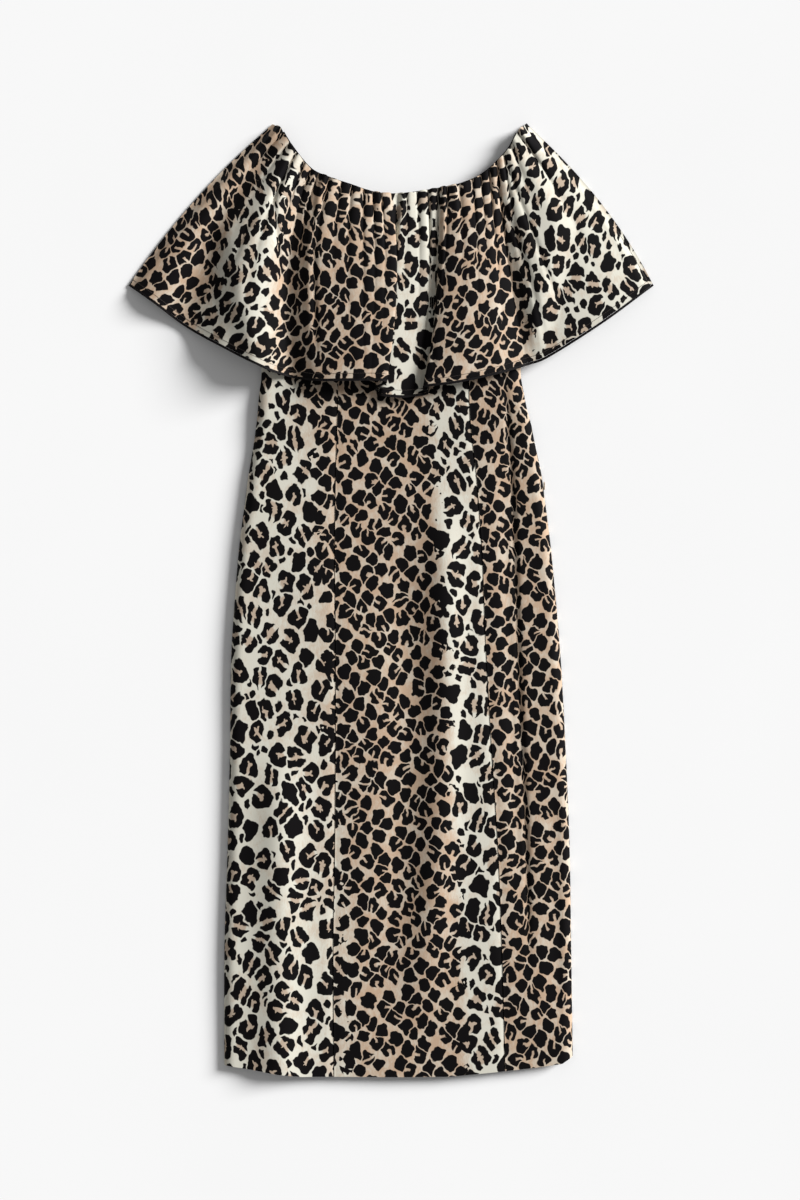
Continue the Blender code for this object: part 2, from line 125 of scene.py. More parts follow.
# Print, in shares of a spot's cell
CORNER_ROUND = 0.14
SLIT_ROUND = 0.06
LUMPS_FROM = 0.57
SLIT_GUARD = 0.2
LUMP_CLEARANCE = 0.07

# Lobes round a spot before rounding, and how tan a band is at its edge
FEWEST_LOBES = 2.6
MORE_LOBES = 2.4
BAND_EDGE = 0.5

# Sockets of the node that mixes colours, which has several of each name
MIX_SHARE = 0
MIX_FIRST = 6
MIX_SECOND = 7
MIX_RESULT = 2

# Sewing thread: a little thicker than the real one, so that it shows
THREAD = 0.85
STITCH = 2.9
STITCH_PITCH = 3.4
STITCH_SINK = 0.12
HEM_STITCH_INSET = 6.0
EDGE_STITCH_INSET = 5.0
EDGE_STITCH_FROM = 0.7
ZIP_STITCH_PITCH = 2.2
ZIP_STITCH_TURN = 1.2
ZIP_STITCH_GAP = 0.2


class Held(Enum):
    """How a piece of cloth is held in place."""
    LAID = "laid"
    GATHERED = "gathered"


class Nearest(Enum):
    """What the distance in a net of cells is measured to."""
    MIDDLE = "F1"
    EDGE = "DISTANCE_TO_EDGE"


class Slot(Enum):
    """Material slots of the dress."""
    PRINT = "printed_cloth"
    TRIM = "black_trim"
    TAPE = "zip_tape"


class Level(NamedTuple):
    """Sides, seams and loft of the body at one height on the front, in millimetres."""
    y: float
    left: float
    left_seam: float
    right_seam: float
    right: float
    loft: float


class Fold(NamedTuple):
    """One ridge or valley of a flounce, at the neckline, half way and at the hem."""
    neck_share: float
    neck_height: float
    mid_x: float
    mid_y: float
    mid_height: float
    hem_x: float
    hem_y: float
    hem_height: float


class Crease(NamedTuple):
    """A soft trough that runs down the skirt, or a ridge where its depth is below 0."""
    top_x: float
    top_y: float
    end_x: float
    end_y: float
    bow: float
    width: float
    depth: float


class Pinch(NamedTuple):
    """A narrow crease along a drawn line, which takes up some cloth."""
    line: tuple[tuple[float, float], ...]
    width: float
    depth: float
    taken: float


class Band(NamedTuple):
    """Edge of a pale or tan band of the print: its place and how tan it is there."""
    place: float
    tan: float


class Sway(NamedTuple):
    """A slow wave along the neckline, which keeps the gathers from being all alike."""
    height: float
    rate: float
    start: float = 0.0

    def along(self, shares: np.ndarray, bend: Any = 0.0) -> np.ndarray:
        """The wave at shares of the neckline, with its phase bent where that is given."""
        return self.height * np.sin(self.rate * shares + self.start + bend)


GATHER_WANDER = (Sway(0.16, 31.0), Sway(0.1, 57.0, 1.0))
GATHER_UNEVEN = Sway(0.25, 9.0)
GATHER_UNEVEN_BEND = Sway(2.0, 23.0)
GATHER_REACH = Sway(0.55, 41.0, 1.7)
GATHER_REACH_BEAT = Sway(1.0, 13.0)


BODY = (
    Level(567, -125, -70, 95, 142, 3.0),
    Level(525, -156, -66, 91, 174, 3.4),
    Level(469, -197, -66, 90, 200, 5.0),
    Level(375, -181, -66, 92, 182, 6.0),
    Level(294, -163, -66, 97, 163, 7.5),
    Level(250, -166, -66, 98, 168, 9.0),
    Level(219, -169, -67, 100, 176, 10.0),
    Level(156, -179, -69, 107, 189, 11.5),
    Level(62, -191, -70, 114, 201, 12.0),
    Level(-62, -200, -69, 119, 212, 12.0),
    Level(-187, -202, -69, 126, 219, 11.0),
    Level(-312, -205, -70, 134, 224, 10.5),
    Level(-437, -209, -72, 139, 226, 10.0),
    Level(-597, -209, -71, 143, 228, 9.5),
)

SKIRT_HEM = (
    (-209, -582), (-175, -587), (-144, -592), (-111, -596), (11, -596.5),
    (74, -596), (135, -590), (179, -585), (214, -580), (229, -570),
)

NECKLINE = (
    (-149, 595), (-139, 590), (-125, 568), (-101, 539), (-76, 527), (-52, 519), (-21, 509),
    (11, 507), (61, 514), (94, 522), (120, 536), (146, 562), (159, 585), (170, 596),
)

# The cleft right of the centre fold is closer here than on the solids
FRONT_FOLDS = (
    Fold(0.00, 0.0, -242, 505, 0.0, -329, 394, 0.0),
    Fold(0.03, 1.0, -228, 487, 7.0, -297, 371, 9.0),
    Fold(0.07, 0.0, -207, 474, 1.0, -256, 341, 1.0),
    Fold(0.115, 2.0, -172, 449, 18.0, -204, 311, 22.5),
    Fold(0.16, 1.5, -146, 429, 15.0, -156, 287, 19.0),
    Fold(0.20, 0.0, -128, 418, 0.5, -126, 278, 0.5),
    Fold(0.235, 1.0, -112, 411, 7.0, -106, 274, 8.0),
    Fold(0.26, 2.0, -97, 407, 14.0, -86, 272, 15.5),
    Fold(0.32, 2.5, -64, 399, 18.0, -52, 272, 20.0),
    Fold(0.455, 5.0, 0, 395, 20.0, -13, 272, 20.5),
    Fold(0.470, 4.2, 5, 394, 15.5, -6, 269, 15.5),
    Fold(0.484, 3.0, -2, 391, 12.0, -19, 263, 11.0),
    Fold(0.498, 0.0, 0, 388, 0.0, -16, 258, 0.0),
    Fold(0.512, 4.0, 4, 386, 9.0, -12, 254, 8.5),
    Fold(0.535, 3.0, 25, 385, 7.0, 13, 252, 6.5),
    Fold(0.58, 1.5, 43, 385, 4.0, 32, 254, 3.5),
    Fold(0.62, 0.0, 55, 387, 0.5, 46, 257, 0.5),
    Fold(0.65, 3.5, 63, 390, 13.0, 41, 264, 16.0),
    Fold(0.70, 4.0, 92, 396, 17.0, 80, 269, 21.0),
    Fold(0.78, 2.0, 124, 408, 13.0, 130, 280, 16.0),
    Fold(0.84, 0.0, 147, 420, 2.0, 171, 293, 2.5),
    Fold(0.885, 1.0, 172, 437, 11.0, 199, 304, 12.0),
    Fold(0.95, 1.0, 222, 472, 10.0, 268, 348, 12.0),
    Fold(1.00, 0.0, 262, 499, 0.0, 329, 394, 0.0),
)

BACK_FOLDS = (
    Fold(0.00, 0.0, -239, 503, 0.0, -325, 394, 0.0),
    Fold(0.10, 0.6, -190, 462, 2.6, -262, 350, 3.0),
    Fold(0.20, 0.0, -148, 432, 0.2, -196, 316, 0.2),
    Fold(0.32, 0.8, -92, 409, 2.4, -118, 287, 2.8),
    Fold(0.44, 0.0, -38, 397, 0.2, -48, 273, 0.2),
    Fold(0.53, 0.8, 22, 394, 2.6, 20, 269, 3.0),
    Fold(0.64, 0.0, 68, 398, 0.2, 84, 275, 0.2),
    Fold(0.74, 0.8, 120, 410, 2.4, 150, 290, 2.8),
    Fold(0.83, 0.0, 164, 436, 0.2, 206, 315, 0.2),
    Fold(0.92, 0.6, 212, 468, 2.6, 266, 352, 3.0),
    Fold(1.00, 0.0, 259, 497, 0.0, 325, 394, 0.0),
)

SKIRT_CREASES = (
    Crease(143, 280, 171, -500, -5.0, 10.0, 3.0),
    Crease(10, 110, -14, -560, 18.0, 23.0, 3.3),
    Crease(62, 170, 34, -570, 18.0, 22.0, -7.5),
    Crease(206, -220, 208, -560, 2.0, 16.0, 2.4),
    Crease(-138, -150, -142, -800, 0.0, 26.0, -8.0),
)

# Narrow creases of the flounce, in the plan of the dress
FLOUNCE_PINCHES = (
    Pinch(((-138, 524), (-145, 501), (-143, 468), (-140, 434), (-136, 389)), 3.2, 2.4, 4.0),
    Pinch(((-174, 479), (-196, 422), (-231, 368)), 3.4, 1.6, 2.0),
    Pinch(((-95, 505), (-97, 440), (-95, 388), (-94, 300)), 3.6, 1.8, 4.5),
    Pinch(((143, 550), (165, 488), (190, 420), (212, 362)), 3.2, 2.0, 3.0),
    Pinch(((124, 525), (150, 470), (172, 405), (192, 325)), 3.4, 1.8, 3.0),
    Pinch(((52, 314), (54, 290)), 3.0, 1.2, 1.5),
    Pinch(((-243, 460), (-225, 400), (-214, 340)), 4.0, 1.2, 1.5),
)

# The long crease of the skirt, where the cloth is tucked into itself
SKIRT_PINCHES = (
    Pinch(((142, 279), (146, 221), (149, 186), (153, 108), (158, -24), (161, -126),
           (167, -245), (170, -333), (172, -450)), 3.4, 2.6, 4.0),
)


def smooth_step(value: np.ndarray) -> np.ndarray:
    """Rise from 0 to 1 with level ends."""
    held = np.clip(value, 0.0, 1.0)
    return held * held * (3.0 - 2.0 * held)


def through_rows(table: Any, places: np.ndarray) -> np.ndarray:
    """Read a table of evenly counted rows at fractional row numbers, on a smooth curve.

    Args:
        table: Rows of numbers.
        places: Fractional row numbers.

    Returns:
        One row of numbers for each place.
    """
    rows = np.asarray(table, dtype=float)
    last = len(rows) - 1
    base = np.clip(np.floor(places).astype(int), 0, last - 1)
    part = (places - base)[:, None]
    before = rows[np.maximum(base - 1, 0)]
    start = rows[base]
    stop = rows[base + 1]
    after = rows[np.minimum(base + 2, last)]
    leave = 0.5 * (stop - before)
    arrive = 0.5 * (after - start)
    cube = part ** 3
    square = part ** 2
    return ((2 * cube - 3 * square + 1) * start + (cube - 2 * square + part) * leave
            + (3 * square - 2 * cube) * stop + (cube - square) * arrive)


def body_value(column: str, y: Any) -> np.ndarray:
    """One column of the BODY table at given heights.

    Args:
        column: The column's name.
        y: One height or many, in millimetres.

    Returns:
        The column's value at each height.
    """
    heights = [level.y for level in BODY][::-1]
    values = [getattr(level, column) for level in BODY][::-1]
    flat = np.atleast_1d(np.asarray(y, dtype=float)).ravel()
    places = np.interp(flat, heights, np.arange(len(heights)))
    return through_rows([[value] for value in values], places)[:, 0].reshape(np.shape(y))


def read_line(line: np.ndarray, length: np.ndarray, at: Any) -> np.ndarray:
    """Points of a line at distances along it.

    Args:
        line: The line's points.
        length: Distance along the line at each of them.
        at: One distance or many.

    Returns:
        One point for each distance.
    """
    return np.stack([np.interp(at, length, values) for values in line.T], axis=-1)


def curve_by_share(points: Any, shares: np.ndarray) -> np.ndarray:
    """Points at shares of the length of a smooth open curve.

    Args:
        points: The few points that the curve passes through.
        shares: Shares of its length.

    Returns:
        One point for each share.
    """
    dense = through_rows(points, np.linspace(0.0, len(points) - 1.0, CURVE_SAMPLES))
    steps = np.linalg.norm(np.diff(dense, axis=0), axis=1)
    length = np.concatenate([[0.0], np.cumsum(steps)])
    return read_line(dense, length, np.asarray(shares) * length[-1])


def neckline_height(x: np.ndarray) -> np.ndarray:
    """Height of the front neckline over x."""
    points = curve_by_share(NECKLINE, np.linspace(0.0, 1.0, NECKLINE_SAMPLES))
    return np.interp(x, points[:, 0], points[:, 1])


def hem_height(x: np.ndarray) -> np.ndarray:
    """Height of the skirt's lower edge over x."""
    return np.interp(x, [point[0] for point in SKIRT_HEM], [point[1] for point in SKIRT_HEM])


def back_level(y: np.ndarray) -> np.ndarray:
    """Middle of the back panel's wall, which climbs onto the back flounce."""
    return CLOTH / 2 + BACK_RISE * smooth_step((y - RISE_START_Y) / RISE_LENGTH)


def crease_depth(x: np.ndarray, y: np.ndarray) -> np.ndarray:
    """Depth of the soft troughs in the skirt's front.

    Args:
        x: Places across, in millimetres.
        y: Places up, in millimetres.

    Returns:
        The depth, below 0 on a ridge.
    """
    total = np.zeros(np.shape(x))
    for crease in SKIRT_CREASES:
        way = (crease.top_y - y) / (crease.top_y - crease.end_y)
        inside = np.clip(way, 0.0, 1.0)
        centre = crease.top_x + (crease.end_x - crease.top_x) * inside
        centre = centre + crease.bow * np.sin(math.pi * inside)
        fade = smooth_step(way * CREASE_START_RATE) * smooth_step((1.0 - way) * CREASE_END_RATE)
        total = total + crease.depth * fade * np.exp(-((x - centre) / crease.width) ** 2)
    return total


def seam_depth(x: np.ndarray, y: np.ndarray) -> np.ndarray:
    """Dip along the two princess seams, whose allowances are pressed to the right.

    Args:
        x: Places across, in millimetres.
        y: Places up, in millimetres.

    Returns:
        The depth of the dip and of the low step beside it.
    """
    total = np.zeros(np.shape(x))
    for seam in ("left_seam", "right_seam"):
        away = x - body_value(seam, y)
        total = total + SEAM_DIP * np.exp(-(away / SEAM_DIP_WIDTH) ** 2)
        step = np.where(away < 0.0, SEAM_STEP, -SEAM_STEP)
        total = total + step * np.exp(-np.abs(away) / SEAM_STEP_WIDTH)
    return total


def pinched(pinches: tuple[Pinch, ...], x: np.ndarray,
            y: np.ndarray) -> tuple[np.ndarray, np.ndarray]:
    """Depth of narrow creases, and the cloth that they take up across.

    Args:
        pinches: The creases, each along a drawn line.
        x: Places across, in millimetres.
        y: Places up, in millimetres.

    Returns:
        The depth, and the shift of the print to one side.
    """
    depth = np.zeros(np.shape(x))
    shift = np.zeros(np.shape(x))
    for pinch in pinches:
        count = len(pinch.line)
        line = through_rows(pinch.line, np.linspace(0.0, count - 1.0, count * PINCH_SAMPLES))
        order = np.argsort(line[:, 1])
        centre = np.interp(y, line[order, 1], line[order, 0])
        top = line[:, 1].max()
        low = line[:, 1].min()
        way = (top - y) / (top - low)
        start = smooth_step(way * PINCH_START_RATE + PINCH_HOLD)
        fade = start * smooth_step((1.0 - way) * PINCH_END_RATE + PINCH_HOLD)
        away = x - centre
        depth = depth + pinch.depth * fade * np.exp(-(away / pinch.width) ** 2)
        shift = shift + pinch.taken * fade * np.tanh(away / (PINCH_SPREAD * pinch.width))
    return depth, shift


@dataclass(frozen=True)
class Rumple:
    """Low, soft unevenness of cloth that has been worn and smoothed out by hand.

    Heights are in millimetres, lengths in millimetres to a radian, and bends in radians.
    """
    rest: float = 0.7
    wide_height: float = 0.55
    wide_across: float = 41.0
    wide_up: float = 128.0
    wide_lean: float = 97.0
    wide_bend: float = 1.3
    wide_bend_length: float = 173.0
    fine_height: float = 0.22
    fine_across: float = 19.0
    fine_up: float = 61.0
    fine_bend: float = 2.0
    fine_bend_length: float = 83.0

    def height(self, x: np.ndarray, y: np.ndarray) -> np.ndarray:
        """How far the cloth rises.

        Args:
            x: Places across, in millimetres.
            y: Places up, in millimetres.

        Returns:
            The rise, about 0 on average.
        """
        bend = self.wide_bend * np.sin(y / self.wide_bend_length)
        wide = np.sin(x / self.wide_across + bend) * np.sin(y / self.wide_up + x / self.wide_lean)
        bend = self.fine_bend * np.sin(y / self.fine_bend_length)
        fine = np.sin(x / self.fine_across + y / self.fine_up + bend)
        return self.wide_height * wide + self.fine_height * fine


RUMPLE = Rumple()


def front_level(x: np.ndarray, y: np.ndarray) -> np.ndarray:
    """Middle of the front panels' wall above the resting plane.

    Args:
        x: Places across, in millimetres.
        y: Places up, in millimetres.

    Returns:
        The height, in millimetres.
    """
    left = x - (body_value("left", y) + CLOTH / 2)
    right = (body_value("right", y) - CLOTH / 2) - x
    inward = np.clip(np.minimum(left, right) / SIDE_ROUND, 0.0, 1.0)
    rounded = np.sqrt(1.0 - (1.0 - inward) ** 2)
    near_neck = smooth_step(1.0 - (neckline_height(x) - y) / NECK_FLATTEN)
    share = rounded + (1.0 - rounded) * near_neck
    relief = crease_depth(x, y) + seam_depth(x, y) + RUMPLE.rest - RUMPLE.height(x, y)
    relief = relief + pinched(SKIRT_PINCHES, x, y)[0]
    relief = relief * inward * (1.0 - near_neck)
    return back_level(y) + CLOTH + FRONT_SEAT + body_value("loft", y) * share - relief


def support_level(x: np.ndarray, y: np.ndarray, down: float) -> np.ndarray:
    """Top of what lies under the front flounce.

    Args:
        x: Places across, in millimetres.
        y: Places up, in millimetres.
        down: Share of the way from the neckline to the hem.

    Returns:
        The height, in millimetres.
    """
    body_top = back_level(y) + 1.5 * CLOTH + FRONT_SEAT + body_value("loft", y)
    low_top = PANEL_STEP + BACK_FOLD_HEIGHT
    outside = np.maximum(body_value("left", y) - x, x - body_value("right", y))
    away = smooth_step(outside / SUPPORT_SLOPE) * smooth_step(down / SUPPORT_START)
    return body_top + (low_top - body_top) * away


def three_stations(first: Any, middle: Any, last: Any, way: float) -> np.ndarray:
    """Value on the parabola through the neckline, half way and the hem.

    Args:
        first: Value at the neckline.
        middle: Value half way.
        last: Value at the hem.
        way: Share of the way from the neckline to the hem.

    Returns:
        The value there.
    """
    weight_first = (1.0 - way) * (1.0 - 2.0 * way)
    weight_middle = 4.0 * way * (1.0 - way)
    weight_last = way * (2.0 * way - 1.0)
    return first * weight_first + middle * weight_middle + last * weight_last


def arc_length(points: np.ndarray, axis: int) -> np.ndarray:
    """Length along a grid of points from its first row or column.

    Args:
        points: Rows and columns of points.
        axis: 0 to measure down the columns, 1 along the rows.

    Returns:
        One length for each point.
    """
    steps = np.linalg.norm(np.diff(points, axis=axis), axis=-1)
    total = np.cumsum(steps, axis=axis)
    pad = [(0, 0), (0, 0)]
    pad[axis] = (1, 0)
    return np.pad(total, pad)


def unit(vectors: np.ndarray) -> np.ndarray:
    """Vectors brought to a length of 1."""
    return vectors / np.linalg.norm(vectors, axis=-1, keepdims=True)


def upper_line(points: np.ndarray, inset: float, sink: float) -> np.ndarray:
    """A line on a wall's upper face, at a fixed distance in from its last row.

    Args:
        points: Rows and columns of the wall's middle points, in millimetres.
        inset: Distance from the last row, in millimetres.
        sink: How far below the upper face, in millimetres.

    Returns:
        One point for each column.
    """
    turned = points[::-1]
    away = arc_length(turned, 0)
    columns = range(points.shape[1])
    line = np.stack([read_line(turned[:, column], away[:, column], inset) for column in columns])
    line[:, 2] += SHELL / 2 - sink
    return line


def flat_map(across: np.ndarray, along: Any) -> np.ndarray:
    """Two numbers for each point of a grid, as a UV map holds them.

    Args:
        across: The first number, in rows and columns.
        along: The second one, alike or as a single value.

    Returns:
        Rows and columns of pairs.
    """
    return np.stack([across, np.broadcast_to(along, across.shape)], axis=-1)


def linear(hex_colour: str) -> tuple[float, float, float, float]:
    """An sRGB hex colour as linear red, green, blue and alpha, by the standard's own curve.

    Args:
        hex_colour: The colour, with its leading mark.

    Returns:
        Four numbers from 0 to 1.
    """
    parts = [int(hex_colour[index:index + 2], 16) / 255.0 for index in (1, 3, 5)]
    curved = [part / 12.92 if part <= 0.04045 else ((part + 0.055) / 1.055) ** 2.4
              for part in parts]
    return (*curved, 1.0)


def add(tree: bpy.types.NodeTree, kind: str, inputs: Any = (), out: Any = 0,
        **settings: Any) -> Any:
    """Add one node, set its options, and fill or link its sockets.

    Args:
        tree: The material's node tree.
        kind: Blender's name of the node, without its first word.
        inputs: Values or other nodes' outputs, in order or by the name or number of the input.
        out: Name or number of the output that is wanted, or None for the node.
        settings: The node's own options.

    Returns:
        The wanted output, from which the node's other outputs can be reached.
    """
    node = tree.nodes.new("ShaderNode" + kind)
    for option, value in settings.items():
        setattr(node, option, value)
    pairs = inputs.items() if isinstance(inputs, dict) else enumerate(inputs)
    for socket, value in pairs:
        if isinstance(value, bpy.types.NodeSocket):
            tree.links.new(value, node.inputs[socket])
        else:
            node.inputs[socket].default_value = value
    return node if out is None else node.outputs[out]


def calc(tree: bpy.types.NodeTree, operation: str, *inputs: Any, **settings: Any) -> Any:
    """Socket with the result of one sum on numbers or sockets."""
    return add(tree, "Math", inputs, operation=operation, **settings)


def blend(tree: bpy.types.NodeTree, share: Any, first: Any, second: Any) -> Any:
    """Mix two colours.

    Args:
        tree: The material's node tree.
        share: Share of the second colour.
        first: Colour or socket.
        second: Colour or socket.

    Returns:
        Socket with the mixed colour.
    """
    inputs = {MIX_SHARE: share, MIX_FIRST: first, MIX_SECOND: second}
    return add(tree, "Mix", inputs, out=MIX_RESULT, data_type="RGBA")


def empty_material(name: str) -> tuple[bpy.types.Material, bpy.types.NodeTree]:
    """A new material without nodes.

    Args:
        name: The material's name.

    Returns:
        The material and its node tree.
    """
    material = bpy.data.materials.new(name)
    material.use_nodes = True
    material.node_tree.nodes.clear()
    return material, material.node_tree


@dataclass(frozen=True)
class SpotNet:
    """A scattered net of cells, in which the spots of the print are grown.

    The cell's width is in millimetres, and the turn, in degrees, keeps its rows off the grain.
    """
    cell: float
    stretch: float
    turn: float
    scatter: float

    def place(self, tree: bpy.types.NodeTree, cut: Any) -> Any:
        """The place on the cut, turned into the net's cells.

        Args:
            tree: The material's node tree.
            cut: Socket with the place on the cut, in millimetres.

        Returns:
            Socket with the place in cells.
        """
        scale = (1.0 / self.cell, 1.0 / (self.cell * self.stretch), 1.0)
        scaled = add(tree, "Mapping", {"Vector": cut, "Scale": scale})
        return add(tree, "VectorRotate", {"Vector": scaled, "Angle": math.radians(self.turn)},
                   rotation_type="Z_AXIS")

    def back(self, tree: bpy.types.NodeTree, cells: Any) -> Any:
        """A place in the net's cells, turned back onto the cut.

        Args:
            tree: The material's node tree.
            cells: Socket with the place in cells.

        Returns:
            Socket with the place on the cut, in millimetres.
        """
        scale = (self.cell, self.cell * self.stretch, 1.0)
        turned = add(tree, "VectorRotate", {"Vector": cells, "Angle": -math.radians(self.turn)},
                     rotation_type="Z_AXIS")
        return add(tree, "Mapping", {"Vector": turned, "Scale": scale})

    def look_up(self, tree: bpy.types.NodeTree, cells: Any, feature: Nearest) -> Any:
        """Socket with the distance in cells to the nearest cell's middle, or to its edge."""
        return add(tree, "TexVoronoi", {"Vector": cells, "Scale": 1.0, "Randomness": self.scatter},
                   out="Distance", voronoi_dimensions="2D", feature=feature.value)


@dataclass(frozen=True)
class SpotLayer:
    """One layer of printed spots, in shares of the net's cell.

    A spot is a ring of lobes round a tan centre, broken on one side or two, or a solid lump.
    The ring has a radius (ring) and half a width (thick), and a lump a radius (solid). The
    lobes stand out by lobe, the sizes differ by spread, and gap is kept clear to the next
    cell. The slit is half as wide as the break. The last two are chances: plain_share that a
    spot is a lump, and one_slit that a ring is broken on one side only.
    """
    net: SpotNet
    ring: float
    thick: float
    solid: float
    lobe: float
    spread: float
    gap: float
    slit: float
    plain_share: float
    one_slit: float


@dataclass(frozen=True)
class PrintedCrepe:
    """Smooth woven crepe with a printed animal pattern.

    The print is matt and the yarn has a faint sheen, so folds read by soft shading. The
    soft edges, the cloud and the grain's height are in millimetres, and the rates are for
    each millimetre. Each ragged pair is a wavelength and a reach, in millimetres.
    """
    cream: str = "#c9c6b9"
    tan: str = "#b49a82"
    centre: str = "#a99480"
    ink: str = "#080607"
    roughness: float = 0.75
    sheen: float = 0.01
    gloss: float = 0.08
    sheen_roughness: float = 0.45
    edge: float = 0.6
    centre_edge: float = 2.4
    centre_share: float = 0.85
    ragged: tuple[tuple[float, float], ...] = ((34.0, 12.0), (8.0, 5.5), (3.6, 1.7))
    stroke_rate: tuple[float, float, float] = (0.3, 0.12, 1.0)
    cloud: float = 30.0
    blotch: float = 0.2
    uneven: float = 0.35
    tan_share: float = 0.8
    tan_least: float = 0.02
    grain_rate: float = 0.7
    grain_strength: float = 0.12
    grain_height: float = 0.6
    large: SpotLayer = SpotLayer(
        SpotNet(25.0, 1.34, 24.0, 0.48), ring=0.275, thick=0.15, solid=0.385, lobe=0.05,
        spread=0.05, gap=0.03, slit=0.07, plain_share=0.14, one_slit=0.55)
    filler: SpotLayer = SpotLayer(
        SpotNet(11.5, 1.3, 61.0, 0.45), ring=0.0, thick=0.33, solid=0.33, lobe=0.03,
        spread=0.08, gap=0.07, slit=0.0, plain_share=1.0, one_slit=1.0)
    small: SpotLayer = SpotLayer(
        SpotNet(17.0, 1.18, 33.0, 0.42), ring=0.23, thick=0.245, solid=0.46, lobe=0.045,
        spread=0.06, gap=0.03, slit=0.075, plain_share=0.5, one_slit=0.9)

    def spots(self, tree: bpy.types.NodeTree, place: Any, layer: SpotLayer) -> tuple[Any, Any, Any]:
        """One layer's spots, from solid lumps to rings that open to a side.

        Args:
            tree: The material's node tree.
            place: Socket with the place on the flat cut, in millimetres.
            layer: The layer's sizes.

        Returns:
            Three sockets: how far inside a spot's ink, how far inside its ring, and the way from
            here to the spot's middle on the cut.
        """
        cells = layer.net.place(tree, place)
        distance = layer.net.look_up(tree, cells, Nearest.MIDDLE)
        middle = distance.node.outputs["Position"]
        rim = layer.net.look_up(tree, cells, Nearest.EDGE)
        chance = add(tree, "SeparateColor", (distance.node.outputs["Color"],)).node.outputs
        away = add(tree, "VectorMath", (cells, middle), operation="SUBTRACT")
        angle = calc(tree, "MULTIPLY", chance[0], 2.0 * math.pi)
        turned = add(tree, "VectorRotate", {"Vector": away, "Angle": angle}, rotation_type="Z_AXIS")
        part = add(tree, "SeparateXYZ", (turned,)).node.outputs
        heading = calc(tree, "ARCTAN2", part[1], part[0])
        lobes = calc(tree, "MULTIPLY_ADD", chance[2], MORE_LOBES, FEWEST_LOBES)
        lobes = calc(tree, "ROUND", lobes)
        lobes = calc(tree, "MULTIPLY", lobes, heading)
        lobes = calc(tree, "COSINE", lobes)
        opened = calc(tree, "GREATER_THAN", chance[1], layer.plain_share)
        size = calc(tree, "MULTIPLY_ADD", opened, layer.thick - layer.solid, layer.solid)
        size = calc(tree, "MULTIPLY_ADD", lobes, -layer.lobe, size)
        size = calc(tree, "MULTIPLY_ADD", chance[0], layer.spread, size)
        radius = calc(tree, "MULTIPLY", opened, layer.ring)
        from_ring = calc(tree, "SUBTRACT", distance, radius)
        from_ring = calc(tree, "ABSOLUTE", from_ring)
        body = calc(tree, "SUBTRACT", size, from_ring)
        inside = calc(tree, "SUBTRACT", rim, layer.gap)
        body = calc(tree, "SMOOTH_MIN", body, inside, CORNER_ROUND)
        both = calc(tree, "GREATER_THAN", chance[2], layer.one_slit)
        # A solid spot's break has a half width below 0, so nothing is cut from it
        half = calc(tree, "MULTIPLY_ADD", opened, layer.slit + 1.0, -1.0)
        beside = calc(tree, "ABSOLUTE", part[1])
        beside = calc(tree, "SUBTRACT", beside, half)
        before = calc(tree, "MULTIPLY", part[0], -1.0)
        before = calc(tree, "SUBTRACT", before, both)
        beyond = calc(tree, "MAXIMUM", beside, before)
        ink = calc(tree, "SMOOTH_MIN", body, beyond, SLIT_ROUND)
        centre = calc(tree, "SUBTRACT", radius, distance)
        way = add(tree, "VectorMath", (layer.net.back(tree, middle), place), operation="SUBTRACT")
        return ink, centre, way

    @staticmethod
    def mask(tree: bpy.types.NodeTree, field: Any, layer: SpotLayer, softness: float) -> Any:
        """Socket that goes from 0 to 1 where a field in cells passes 0, over some millimetres."""
        return calc(tree, "MULTIPLY_ADD", field, layer.net.cell / softness, 0.5, use_clamp=True)

    @staticmethod
    def band_value(tree: bpy.types.NodeTree, way: Any, bands: tuple[Band, ...], width: float) -> Any:
        """How tan the ground is, here or at a spot's middle.

        The "bands" map holds the place across the uncut strip, and how fast it grows across the cut.

        Args:
            tree: The material's node tree.
            way: Socket or vector with the way from here, in millimetres.
            bands: The bands' edges.
            width: Width over which the bands are given, in millimetres.

        Returns:
            A socket from 0, pale, to 1, tan.
        """
        here = add(tree, "SeparateXYZ", (add(tree, "UVMap", uv_map="bands"),)).node.outputs
        across = add(tree, "SeparateXYZ", (way,))
        there = calc(tree, "MULTIPLY", across, here[1])
        start = calc(tree, "MULTIPLY_ADD", here[0], MM_IN_METRE, there)
        share = calc(tree, "MULTIPLY_ADD", start, 1.0 / width, 0.5)
        ramp = add(tree, "ValToRGB", (share,))
        # A new ramp has two stops already
        stops = ramp.node.color_ramp.elements
        for index, band in enumerate(bands):
            spot = min(max(band.place / width + 0.5, 0.0), 1.0)
            stop = stops[index] if index < 2 else stops.new(spot)
            stop.position = spot
            stop.color = (band.tan, band.tan, band.tan, 1.0)
        return ramp

